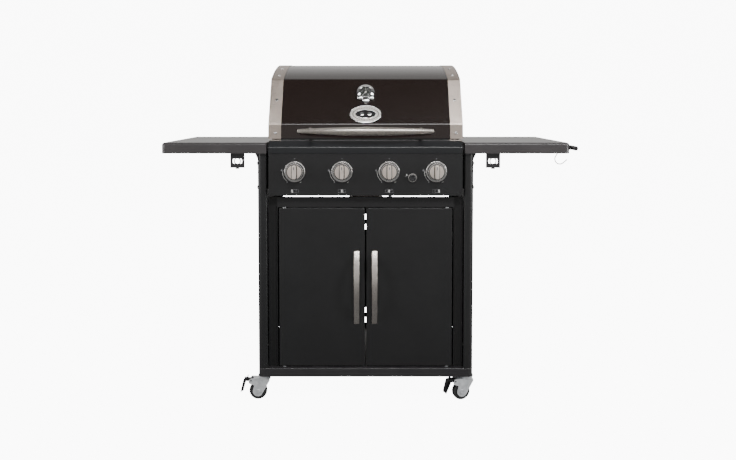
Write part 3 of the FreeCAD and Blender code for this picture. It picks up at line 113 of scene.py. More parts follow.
@dataclass(frozen=True)
class Finish:
    """A surface: what it is, its colour and how it shines.

    Attributes:
        name: what the material is.
        colour: its sRGB hex colour.
        second: the colour it drifts to in patches.
        roughness: its roughness where it is cleanest.
        spread: how much rougher its roughest patches are.
        metallic: one for bare metal.
        coat: weight of a clear coat.
        coat_roughness: the clear coat's own roughness.
        grain_mm: size of its surface grain, along X, Y and Z.
        bump_mm: how deep the grain looks.
        patch_mm: size of its colour patches.
        ior: how strongly a bare or coated surface that isn't metal mirrors.
    """

    name: str
    colour: str
    second: str
    roughness: float
    spread: float = 0.08
    metallic: float = 0.0
    coat: float = 0.0
    coat_roughness: float = 0.08
    grain_mm: tuple[float, float, float] = (1.2, 1.2, 1.2)
    bump_mm: float = 0.02
    patch_mm: float = 90.0
    ior: float = 1.5

    def material(self) -> bpy.types.Material:
        """Build the material the first time it is asked for.

        Returns:
            The material.
        """
        known = bpy.data.materials.get(self.name)
        if known:
            return known
        made = bpy.data.materials.new(self.name)
        made.use_nodes = True
        made.node_tree.nodes.clear()
        place = add_node(made, "ShaderNodeTexCoord").outputs["Object"]
        stretch = add_node(made, "ShaderNodeMapping",
                           {"Scale": tuple(per_metre(size) for size in self.grain_mm)}, {"Vector": place})
        grain = add_node(made, "ShaderNodeTexNoise", {"Scale": 1.0, "Detail": 3.0},
                         {"Vector": stretch.outputs[0]})
        patch = add_node(made, "ShaderNodeTexNoise", {"Scale": per_metre(self.patch_mm), "Detail": 4.0},
                         {"Vector": place})
        tone = add_node(made, "ShaderNodeValToRGB", links={"Fac": patch.outputs[0]})
        tone.color_ramp.elements[0].position, tone.color_ramp.elements[1].position = 0.35, 0.65
        tone.color_ramp.elements[0].color = linear(self.colour)
        tone.color_ramp.elements[1].color = linear(self.second)
        span = {"From Min": 0.3, "From Max": 0.7,
                "To Min": self.roughness, "To Max": self.roughness + self.spread}
        rough = add_node(made, "ShaderNodeMapRange", span, {"Value": grain.outputs[0]})
        bump = add_node(made, "ShaderNodeBump", {"Strength": 0.5, "Distance": self.bump_mm * MM},
                        {"Height": grain.outputs[0]})
        settings = {"Metallic": self.metallic, "Coat Weight": self.coat,
                    "Coat Roughness": self.coat_roughness}
        if not self.metallic:
            settings["IOR"] = self.ior
        links = {"Base Color": tone.outputs[0], "Roughness": rough.outputs[0], "Normal": bump.outputs[0]}
        shader = add_node(made, "ShaderNodeBsdfPrincipled", settings, links)
        add_node(made, "ShaderNodeOutputMaterial", links={"Surface": shader.outputs[0]})
        return made


@dataclass(frozen=True)
class Glass:
    """Clear glass over the thermometer's dial.

    Attributes:
        name: what the material is.
    """

    name: str = "clear dial glass"

    def material(self) -> bpy.types.Material:
        """Build the material the first time it is asked for.

        Returns:
            The material.
        """
        known = bpy.data.materials.get(self.name)
        if known:
            return known
        made = bpy.data.materials.new(self.name)
        made.use_nodes = True
        made.node_tree.nodes.clear()
        shader = add_node(made, "ShaderNodeBsdfPrincipled",
                          {"Base Color": linear("f6faf9"), "Roughness": 0.03, "IOR": 1.45,
                           "Transmission Weight": 1.0, "Alpha": 0.25})
        add_node(made, "ShaderNodeOutputMaterial", links={"Surface": shader.outputs[0]})
        return made


@dataclass(frozen=True)
class Paper:
    """White paper that glows to the camera but lights nothing.

    Attributes:
        name: what the material is.
        colour: the paper's own sRGB hex colour, which everything but the camera sees.
        glow: how strongly it shines to the camera.
    """

    name: str = "white studio paper"
    colour: str = "8c8c8c"
    glow: float = 10.0

    def material(self) -> bpy.types.Material:
        """Build the material.

        Returns:
            The material.
        """
        made = bpy.data.materials.new(self.name)
        made.use_nodes = True
        made.node_tree.nodes.clear()
        path = add_node(made, "ShaderNodeLightPath").outputs["Is Camera Ray"]
        matt = add_node(made, "ShaderNodeBsdfDiffuse", {"Color": linear(self.colour), "Roughness": 0.9})
        bright = add_node(made, "ShaderNodeEmission", {"Color": linear("ffffff"), "Strength": self.glow})
        both = add_node(made, "ShaderNodeAddShader", links={0: matt.outputs[0], 1: bright.outputs[0]})
        seen = add_node(made, "ShaderNodeMixShader", links={0: path, 1: matt.outputs[0], 2: both.outputs[0]})
        add_node(made, "ShaderNodeOutputMaterial", links={"Surface": seen.outputs[0]})
        return made


# Polyester powder coat is sprayed dry and baked: satin, with a fine orange peel.
POWDER = Finish("satin black powder coat", "29282a", "2e2d2e", 0.34, 0.1, coat=0.12, coat_roughness=0.3,
                grain_mm=(1.6, 1.6, 1.6), bump_mm=0.03)
# The doors and panels have the same coat laid on smoother, which reads as an even, quiet black.
POWDER_PANEL = Finish("smooth black powder coat", "161617", "19191a", 0.4, 0.08, coat=0.05,
                      coat_roughness=0.35, grain_mm=(2.0, 2.0, 2.0), bump_mm=0.02)
# The shelves have the cart's black coat with a soft sheen, so their tops mirror the wall behind; its colour
# is painted a lighter grey, a painted highlight for the light their edges and tops catch.
SHELF_PAINTED_LIGHT = Finish("black shelf coat greyed as painted light", "3c393a", "434041", 0.3, 0.08, coat=0.2, coat_roughness=0.2,
               grain_mm=(1.8, 1.8, 1.8), bump_mm=0.02)
# Drawn wire keeps a dark skin from the die, so it shows as a thin dark line.
WIRE = Finish("drawn steel wire", "55524f", "4a4745", 0.35, 0.1, metallic=1.0, grain_mm=(0.4, 0.4, 0.4))
# Vitreous enamel is glass fused on steel: deep, glossy and faintly brown, with sharp highlights.
ENAMEL = Finish("dark brown vitreous enamel", "1c1310", "1f1613", 0.15, 0.05, coat=0.25,
                coat_roughness=0.06, grain_mm=(2.5, 2.5, 2.5), bump_mm=0.015, patch_mm=160, ior=1.42)
# The firebox has the plain black ground coat, with a pebbled face that breaks its highlights up.
GROUND_ENAMEL = Finish("black ground enamel", "121213", "17171a", 0.3, 0.12, coat=0.3,
                       grain_mm=(0.9, 0.9, 0.9), bump_mm=0.05)
# Brushed steel: fine scratches along the belt's run draw its highlights out into streaks.
STAINLESS = Finish("brushed stainless steel", "c6b9af", "b9ada3", 0.26, 0.16, metallic=1.0,
                   grain_mm=(18.0, 18.0, 0.35), bump_mm=0.01)
# The same steel brushed along its length, for bars, tubes and trays.
STAINLESS_LONG = Finish("lengthways brushed stainless steel", "cfc8c0", "c2bbb3", 0.24, 0.14,
                        metallic=1.0, grain_mm=(30.0, 0.4, 0.4), bump_mm=0.008)
# The same steel brushed upright, for the door straps.
STAINLESS_TALL = Finish("upright brushed stainless steel", "cfcac4", "c4beb8", 0.24, 0.14,
                        metallic=1.0, grain_mm=(0.4, 0.4, 30.0), bump_mm=0.008)
# A spun zinc casting with a satin nickel plate: a warm, soft grey.
SATIN_NICKEL = Finish("satin nickel plate", "f0e5dc", "e6dad0", 0.3, 0.1, metallic=0.7,
                      grain_mm=(0.5, 0.5, 0.5), bump_mm=0.006)
# Polished chrome mirrors the room: bright on its shoulders and dark between them.
CHROME = Finish("polished chrome plate", "e4e4e4", "dcdcdd", 0.05, 0.04, metallic=1.0, bump_mm=0.001)
# Satin chrome has the same colour with its mirror images blurred.
SATIN_CHROME = Finish("satin chrome plate", "dedcda", "d2d0ce", 0.2, 0.1, metallic=1.0, bump_mm=0.002)
# Bright zinc plate shows soft blotches where the passivation is thicker.
ZINC = Finish("bright zinc plate", "eceef0", "cfd2d5", 0.3, 0.16, metallic=0.45,
              grain_mm=(3.0, 3.0, 3.0), bump_mm=0.02, patch_mm=14)
# Cast iron keeps the sand mould's roughness under its thin enamel.
IRON = Finish("enamelled cast iron", "141414", "1c1b1a", 0.45, 0.2, coat=0.2, grain_mm=(0.8, 0.8, 0.8),
              bump_mm=0.12)
# Turned brass has fine rings round each valve and a yellow glint.
BRASS = Finish("machined brass", "b58d4c", "a8803f", 0.28, 0.15, metallic=1.0, grain_mm=(0.5, 4.0, 0.5))
# Galvanised pipe is dull grey with small cloudy patches.
PIPE = Finish("galvanised pipe", "8e9193", "7d8083", 0.4, 0.15, metallic=1.0, patch_mm=20)
# Blackened screws are near black with a faint metal edge.
BLACK_STEEL = Finish("blackened fastener steel", "2a2a2b", "1d1d1e", 0.35, 0.15, metallic=0.8)
# Tyre rubber is matt and slightly blue-grey.
RUBBER = Finish("dark grey tyre rubber", "262827", "2f3130", 0.62, 0.15, grain_mm=(0.7, 0.7, 0.7),
                bump_mm=0.05)
# Moulded nylon has the fine grain of an etched mould.
PLASTIC = Finish("moulded black nylon", "18181a", "1e1e20", 0.42, 0.12, grain_mm=(0.6, 0.6, 0.6),
                 bump_mm=0.03)
# The wheel hubs are the same nylon in mid grey.
PLASTIC_GREY = Finish("moulded grey nylon", "3a3a3c", "444446", 0.4, 0.12, grain_mm=(0.6, 0.6, 0.6),
                      bump_mm=0.03)
# The dial card is matt, a very dark green-grey.
DIAL = Finish("printed dial card", "23241f", "2b2c26", 0.5, 0.05, bump_mm=0.002)
# Screen print is a flat, slightly chalky ink.
PRINT = Finish("white screen print", "d9d9d6", "cfcfcc", 0.55, 0.05, bump_mm=0.002)
# The smaller marks are printed in grey, so they stay faint.
PRINT_GREY = Finish("grey screen print", "77777a", "6f6f72", 0.55, 0.05, bump_mm=0.002)
# The trim over the control panel is glossier than the panel; its faint blue tint is a painted reflection.
TRIM = Finish("dark gloss trim enamel", "101215", "131518", 0.3, 0.06, coat=0.3, coat_roughness=0.1,
              grain_mm=(2.5, 2.5, 2.5), bump_mm=0.01)
# The badge's field is brushed lengthways and stays lighter than the enamel round it.
BADGE_SATIN = Finish("satin badge plate", "b9b6b0", "aeaba6", 0.32, 0.1, metallic=1.0,
                     grain_mm=(20.0, 0.4, 0.4), bump_mm=0.006)
# The badge's middle is filled with black enamel that lies flush and shines.
BADGE_BLACK = Finish("black badge enamel", "101012", "151517", 0.2, 0.05, coat=0.6, bump_mm=0.004)
# The needle is painted pale so that it reads against the dial.
NEEDLE = Finish("pale needle paint", "d8d8cf", "cecec6", 0.4, 0.05, bump_mm=0.002)
# White paper sweep, lit from behind so that it reads as bright as the wall.
FLOOR = Paper()


# ---------------------------------------------------------------- modelling by hand

class Turn(Enum):
    """Which way a piece modelled about Z is turned to stand in the grill."""

    FORWARD = "forward"
    SIDE = "side"


TURNS = {
    Turn.FORWARD: Matrix.Rotation(math.radians(90), 4, "X"),
    Turn.SIDE: Matrix(((0, 0, 1, 0), (-1, 0, 0, 0), (0, 1, 0, 0), (0, 0, 0, 1))),
}


def clear() -> None:
    """Leave edit mode and deselect everything."""
    if bpy.context.mode != "OBJECT":
        bpy.ops.object.mode_set(mode="OBJECT")
    bpy.ops.object.select_all(action="DESELECT")


def pick(piece: bpy.types.Object) -> None:
    """Select one piece alone and make it active.

    Args:
        piece: the piece.
    """
    clear()
    piece.select_set(True)
    bpy.context.view_layer.objects.active = piece


def place(piece: bpy.types.Object, turn: Turn, at: Vector) -> bpy.types.Object:
    """Turn a piece modelled about Z, put it in the grill, and write that into its mesh.

    Args:
        piece: the piece.
        turn: where its Z axis goes.
        at: the point its origin goes to.

    Returns:
        The piece.
    """
    pick(piece)
    piece.matrix_world = Matrix.Translation(at) @ TURNS[turn]
    bpy.ops.object.transform_apply(location=True, rotation=True, scale=True)
    return piece


def bevel(piece: bpy.types.Object, width_mm: float, segments: int = 2, angle: float = 30.0) -> None:
    """Round a piece's sharp edges with a modifier and apply it.

    Args:
        piece: the piece.
        width_mm: the round's width.
        segments: steps across the round.
        angle: edges sharper than this many degrees are rounded.
    """
    pick(piece)
    modifier = piece.modifiers.new("Bevel", "BEVEL")
    modifier.width = width_mm * MM
    modifier.segments = segments
    modifier.limit_method = "ANGLE"
    modifier.angle_limit = math.radians(angle)
    modifier.use_clamp_overlap = True
    bpy.ops.object.modifier_apply(modifier=modifier.name)


def outward(piece: bpy.types.Object) -> None:
    """Merge a piece's doubles and turn its faces outwards.

    Args:
        piece: the piece.
    """
    pick(piece)
    bpy.ops.object.mode_set(mode="EDIT")
    bpy.ops.mesh.select_all(action="SELECT")
    bpy.ops.mesh.remove_doubles(threshold=0.00001)
    bpy.ops.mesh.normals_make_consistent(inside=False)
    bpy.ops.object.mode_set(mode="OBJECT")


def dress(piece: bpy.types.Object, name: str, finish: Finish | Glass, body: str,
          stands_for: tuple[str, ...] = (), smooth: float = 35.0) -> bpy.types.Object:
    """Name a piece, give it its finish and its body, and hide the CAD nodes that it stands for.

    Args:
        piece: the finished mesh.
        name: its name.
        finish: its surface.
        body: the moving body it rides on.
        stands_for: CAD nodes that it replaces.
        smooth: edges flatter than this many degrees are shaded smooth.

    Returns:
        The piece.
    """
    pick(piece)
    bpy.ops.object.shade_smooth_by_angle(angle=math.radians(smooth))
    piece.name = name
    piece.data.name = name
    piece.data.materials.clear()
    piece.data.materials.append(finish.material())
    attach(piece, body)
    if stands_for:
        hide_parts(*stands_for)
    LOG.info("%s: %d faces, in %s, rides on %s", name, len(piece.data.polygons), finish.name, body)
    return piece


def turned(steps: list[tuple[float, float]], sides: int = 64) -> bpy.types.Object:
    """Turn a solid about Z: a disc is extruded and resized from step to step.

    Args:
        steps: (radius, height) of each ring in millimetres, from the bottom up.
        sides: corners of each ring.

    Returns:
        The closed solid, at the origin.
    """
    clear()
    radius, height = steps[0]
    bpy.ops.mesh.primitive_circle_add(vertices=sides, radius=radius * MM, fill_type="NGON",
                                      location=(0, 0, height * MM))
    piece = bpy.context.object
    bpy.ops.object.transform_apply(location=True, rotation=True, scale=True)
    bpy.ops.object.mode_set(mode="EDIT")
    bpy.ops.mesh.select_mode(type="FACE")
    bpy.ops.mesh.select_all(action="SELECT")
    for wider, higher in steps[1:]:
        bpy.ops.mesh.extrude_region_move(TRANSFORM_OT_translate={"value": (0, 0, (higher - height) * MM)})
        ratio = wider / radius
        bpy.ops.transform.resize(value=(ratio, ratio, 1), center_override=(0, 0, higher * MM))
        radius, height = wider, higher
    bpy.ops.object.mode_set(mode="OBJECT")
    outward(piece)
    return piece


def ring(steps: list[tuple[float, float]], sides: int = 64) -> bpy.types.Object:
    """Turn a ring about Z from a closed section, by spinning its outline.

    Args:
        steps: (radius, height) of the section's corners in millimetres, in order.
        sides: steps round the ring.

    Returns:
        The closed ring, at the origin.
    """
    clear()
    bpy.ops.mesh.primitive_circle_add(vertices=len(steps), radius=0.01, fill_type="NOTHING")
    piece = bpy.context.object
    for corner, (radius, height) in zip(piece.data.vertices, steps):
        corner.co = (radius * MM, 0, height * MM)
    bpy.ops.object.mode_set(mode="EDIT")
    bpy.ops.mesh.select_all(action="SELECT")
    bpy.ops.mesh.spin(steps=sides, angle=math.tau, center=(0, 0, 0), axis=(0, 0, 1))
    bpy.ops.object.mode_set(mode="OBJECT")
    outward(piece)
    return piece


def plate(outlines: list[list[tuple[float, float]]], thick_mm: float, round_mm: float = 0.0,
          steps: int = 2) -> bpy.types.Object:
    """Cut a flat plate from outlines in its own XY plane; inner outlines are holes.

    Args:
        outlines: closed outlines of (x, y) corners in millimetres.
        thick_mm: its thickness, half of it each side of Z = 0.
        round_mm: the round on its edges.
        steps: steps across that round.

    Returns:
        The closed solid, at the origin.
    """
    clear()
    bpy.ops.curve.primitive_nurbs_path_add()
    piece = bpy.context.object
    drawing = piece.data
    drawing.splines.clear()
    for outline in outlines:
        line = drawing.splines.new("POLY")
        line.points.add(len(outline) - 1)
        for point, (x, y) in zip(line.points, outline):
            point.co = (x * MM, y * MM, 0, 1)
        line.use_cyclic_u = True
    drawing.dimensions = "2D"
    drawing.fill_mode = "BOTH"
    drawing.extrude = (thick_mm / 2 - round_mm) * MM
    drawing.bevel_depth = round_mm * MM
    drawing.bevel_resolution = steps
    drawing.offset = -round_mm * MM
    pick(piece)
    bpy.ops.object.convert(target="MESH")
    piece = bpy.context.object
    outward(piece)
    return piece


def bar(points: list[tuple[float, float, float]], radii: list[float], sides: int = 8,
        order: int = 4) -> bpy.types.Object:
    """Draw a round bar along a smooth line, with its own thickness at each point.

    Args:
        points: the line's control points in metres.
        radii: the bar's radius at each point, in millimetres.
        sides: a quarter of the corners round it.
        order: the line's order.

    Returns:
        The closed solid, where the points are.
    """
    clear()
    bpy.ops.curve.primitive_nurbs_path_add()
    piece = bpy.context.object
    drawing = piece.data
    drawing.splines.clear()
    line = drawing.splines.new("NURBS")
    line.points.add(len(points) - 1)
    for point, at, radius in zip(line.points, points, radii):
        point.co = (*at, 1)
        point.radius = radius
    line.order_u = order
    line.use_endpoint_u = True
    line.resolution_u = 12
    drawing.dimensions = "3D"
    drawing.bevel_depth = MM
    drawing.bevel_resolution = sides
    drawing.use_fill_caps = True
    pick(piece)
    bpy.ops.object.convert(target="MESH")
    piece = bpy.context.object
    outward(piece)
    return piece


def join(pieces: list[bpy.types.Object]) -> bpy.types.Object:
    """Join the pieces of one part into one object.

    Args:
        pieces: the pieces, of which the first one stays.

    Returns:
        The joined object.
    """
    pick(pieces[0])
    for piece in pieces[1:]:
        piece.select_set(True)
    bpy.ops.object.join()
    return bpy.context.object


def oval(half_wide: float, half_tall: float, at: tuple[float, float] = (0, 0), power: float = 2.0,
         count: int = 72) -> list[tuple[float, float]]:
    """Corners of an oval outline.

    Args:
        half_wide: half its width.
        half_tall: half its height.
        at: its centre.
        power: two for an ellipse, more for squarer shoulders.
        count: how many corners.

    Returns:
        The corners, anticlockwise.
    """
    corners = []
    for step in range(count):
        angle = math.tau * step / count
        cosine, sine = math.cos(angle), math.sin(angle)
        corners.append((at[0] + half_wide * math.copysign(abs(cosine) ** (2 / power), cosine),
                        at[1] + half_tall * math.copysign(abs(sine) ** (2 / power), sine)))
    return corners


def middle_of(node: str) -> Vector:
    """The middle of a CAD node's box."""
    low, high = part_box(node)
    return (low + high) / 2


# ---------------------------------------------------------------- camera and studio

@dataclass
class Camera:
    """The viewer's place, straight in front of the cart and looking a little down.

    Attributes:
        right_mm: its distance to the right of the cart's middle.
        back_mm: its distance behind the cart's middle, so less than zero in front.
        up_mm: its height over the floor.
        tilt: how far it looks down, in degrees.
        lens_mm: the lens's focal length.
        film_mm: the film's width.
        shift_up: how far the view is shifted up, as a share of its width.
    """

    right_mm: float = 8.0
    back_mm: float = -2750.0
    up_mm: float = 988.0
    tilt: float = 2.5
    lens_mm: float = 37.27
    film_mm: float = 36.0
    shift_up: float = -0.1236

    def build(self) -> None:
        """Create the camera and make it the scene's own."""
        middle = middle_of("base_tray")
        data = bpy.data.cameras.new("camera")
        data.lens = self.lens_mm
        data.sensor_width = self.film_mm
        data.shift_y = self.shift_up
        camera = bpy.data.objects.new("camera", data)
        camera.location = (middle.x + self.right_mm * MM, middle.y + self.back_mm * MM, self.up_mm * MM)
        camera.rotation_euler = (math.radians(90 - self.tilt), 0, 0)
        bpy.context.scene.collection.objects.link(camera)
        bpy.context.scene.camera = camera


@dataclass(frozen=True)
class Softbox:
    """One soft lamp.

    Attributes:
        name: what it is called.
        at: where it stands, in metres.
        aim: the point it looks at.
        wide: its width.
        tall: its height.
        power: its power in watts.
    """

    name: str
    at: tuple[float, float, float]
    aim: tuple[float, float, float]
    wide: float
    tall: float
    power: float

    def build(self) -> None:
        """Create the lamp."""
        data = bpy.data.lights.new(self.name, "AREA")
        data.shape = "RECTANGLE"
        data.size, data.size_y = self.wide, self.tall
        data.energy = self.power
        lamp = bpy.data.objects.new(self.name, data)
        lamp.location = self.at
        lamp.rotation_euler = (Vector(self.aim) - Vector(self.at)).to_track_quat("-Z", "Y").to_euler()
        bpy.context.scene.collection.objects.link(lamp)


@dataclass
class Studio:
    """A white sweep with soft lamps.

    Attributes:
        half_m: half the floor's width.
        walls: what the metal mirrors, from the room in front (0) to the wall behind (1).
        warmth: the tint of that room, as red, green and blue.
        backdrop: how bright the wall behind looks.
        lamps: the soft lamps.
    """

    half_m: float = 12.0
    walls: tuple[tuple[float, float], ...] = (
        (0.0, 0.75), (0.14, 0.12), (0.45, 0.14), (0.85, 0.4), (1.0, 1.0))
    warmth: tuple[float, float, float] = (1.0, 0.985, 0.965)
    backdrop: float = 10.0
    lamps: list[Softbox] = field(default_factory=lambda: [
        Softbox("top_lamp", (0.0, 0.6, 3.2), (0.0, 0.1, 0.9), 3.4, 1.4, 6.0),
        Softbox("right_lamp", (2.6, -1.5, 1.4), (0.2, -0.2, 0.7), 0.5, 2.2, 60.0),
        Softbox("left_lamp", (-2.6, -1.5, 1.4), (-0.2, -0.2, 0.7), 0.5, 2.2, 45.0),
        Softbox("front_lamp", (0.5, -2.6, 3.2), (0.0, -0.2, 0.9), 2.6, 0.5, 90.0),
    ])

    def build(self) -> None:
        """Create the floor, the lamps and the sky."""
        clear()
        bpy.ops.mesh.primitive_plane_add(size=2 * self.half_m, location=(0, 0, 0))
        floor = bpy.context.object
        floor.name = "studio_floor"
        floor.data.materials.append(FLOOR.material())
        for lamp in self.lamps:
            lamp.build()
        world = bpy.data.worlds.new("studio")
        bpy.context.scene.world = world
        world.use_nodes = True
        world.node_tree.nodes.clear()
        path = add_node(world, "ShaderNodeLightPath").outputs["Is Camera Ray"]
        facing = add_node(world, "ShaderNodeTexCoord").outputs["Generated"]
        parts = add_node(world, "ShaderNodeSeparateXYZ", links={0: facing})
        share = add_node(world, "ShaderNodeMapRange", {"From Min": -1.0}, {"Value": parts.outputs["Y"]})
        fade = add_node(world, "ShaderNodeValToRGB", links={"Fac": share.outputs[0]})
        for stop, (where, bright) in enumerate(self.walls):
            if stop > 1:
                fade.color_ramp.elements.new(where)
            fade.color_ramp.elements[stop].position = where
            fade.color_ramp.elements[stop].color = (*(bright * tint for tint in self.warmth), 1.0)
        room = add_node(world, "ShaderNodeBackground", links={"Color": fade.outputs[0]})
        seen = add_node(world, "ShaderNodeBackground", {"Color": linear("ffffff"), "Strength": self.backdrop})
        mix = add_node(world, "ShaderNodeMixShader", links={0: path, 1: room.outputs[0], 2: seen.outputs[0]})
        add_node(world, "ShaderNodeOutputWorld", links={"Surface": mix.outputs[0]})


# ---------------------------------------------------------------- finishes on the frame's own pieces

CASTER_FORKS = tuple(f"caster_fork_{corner}" for corner in CORNERS)
CASTER_WHEELS = tuple(f"caster_wheel_{corner}" for corner in CORNERS)
FRAME_FINISHES: dict[Finish, tuple[str, ...]] = {
    POWDER_PANEL: ("side_panel_left", "side_panel_right", "back_panel", "door_frame", "control_panel",
                   "door_left", "door_right"),
    POWDER: ("base_tray", "door_catches", "shelf_brackets", "accessory_brackets", "tool_rail"),
    SHELF_PAINTED_LIGHT: ("shelf_left", "shelf_right"),
    WIRE: ("s_hook",),
    ENAMEL: ("hood_shell",),
    GROUND_ENAMEL: ("firebox",),
    STAINLESS: ("hood_end_left", "hood_end_right"),
    STAINLESS_LONG: ("hood_handle", "flame_tamers", "burners", "drip_tray"),
    STAINLESS_TALL: ("door_handle_left", "door_handle_right"),
    SATIN_NICKEL: ("knob_bezels", "knob_1", "knob_2", "knob_3", "knob_4", "valve_collar_1", "valve_collar_2",
                   "valve_collar_3", "valve_collar_4"),
    CHROME: ("thermometer", "hood_badge", "hood_rivets", "warming_rack"),
    ZINC: ("hood_hinges", "door_hinge_pins", "caster_mounts", *CASTER_FORKS),
    RUBBER: CASTER_WHEELS,
    PLASTIC: ("igniter_button", "ignition_set", "brake_pedal_front_left", "brake_pedal_front_right"),
    IRON: ("grate_left", "grate_right"),
    BRASS: ("gas_valves",),
    PIPE: ("gas_manifold",),
    BLACK_STEEL: ("frame_bolts",),
    NEEDLE: ("thermometer_needle",),
    TRIM: ("front_trim",),
}


def finish_frame(nodes: dict[str, bpy.types.Object]) -> None:
    """Give every CAD node the finish of what it is.

    Args:
        nodes: the frame's nodes by name.
    """
    chosen = {name: finish for finish, names in FRAME_FINISHES.items() for name in names}
    for name, node in nodes.items():
        material = chosen[name].material()
        if not node.material_slots:
            node.data.materials.append(material)
        for slot in node.material_slots:
            slot.material = material


# ---------------------------------------------------------------- hood

@dataclass
class HoodHandle:
    """A bowed satin steel bar, thick in the middle, on two flared posts.

    Attributes:
        ends_y_mm: where the bar's ends are, back to front.
        front_y_mm: where its middle's centre line is.
        middle_radius: half its thickness in the middle.
        end_radius: half its thickness at the ends.
        post_offset: each post's distance from the middle.
        post_radius: half a post's thickness.
        flare_radius: half the width of a post's foot.
        stations: how many points the bar is drawn through.
    """

    ends_y_mm: float = -234.5
    front_y_mm: float = -256.5
    middle_radius: float = 14.5
    end_radius: float = 7.0
    post_offset: float = 185.0
    post_radius: float = 7.0
    flare_radius: float = 10.0
    stations: int = 11

    def bow(self, share: float) -> tuple[float, float]:
        """The bar's line and radius at a share of its half length.

        Args:
            share: from minus one at the left end to one at the right.

        Returns:
            Its place front to back and its radius, in millimetres.
        """
        swell = 1 - share * share
        return (self.ends_y_mm + (self.front_y_mm - self.ends_y_mm) * swell,
                self.end_radius + (self.middle_radius - self.end_radius) * swell)

    def build(self) -> None:
        """Draw the bar, turn the posts and join them."""
        low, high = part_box("hood_handle")
        middle, height = (low.x + high.x) / 2, (low.z + high.z) / 2
        half = (high.x - low.x) / 2
        points, radii = [], []
        for step in range(self.stations):
            share = 2 * step / (self.stations - 1) - 1
            line, radius = self.bow(share)
            points.append((middle + half * share, line * MM, height))
            radii.append(radius)
        grip = bar(points, radii)
        bevel(grip, 2.5, 3, 60)
        pieces = [grip]
        reach = high.y / MM - self.bow(self.post_offset * MM / half)[0]
        for side in (-1, 1):
            post = turned([(self.flare_radius, 0), (self.flare_radius, 1.5), (self.post_radius + 1, 4),
                           (self.post_radius, 9), (self.post_radius, reach)], 32)
            foot = Vector((middle + side * self.post_offset * MM, high.y, height))
            pieces.append(place(post, Turn.FORWARD, foot))
        dress(join(pieces), "hood_handle_bar", STAINLESS_LONG, "hood", ("hood_handle",))


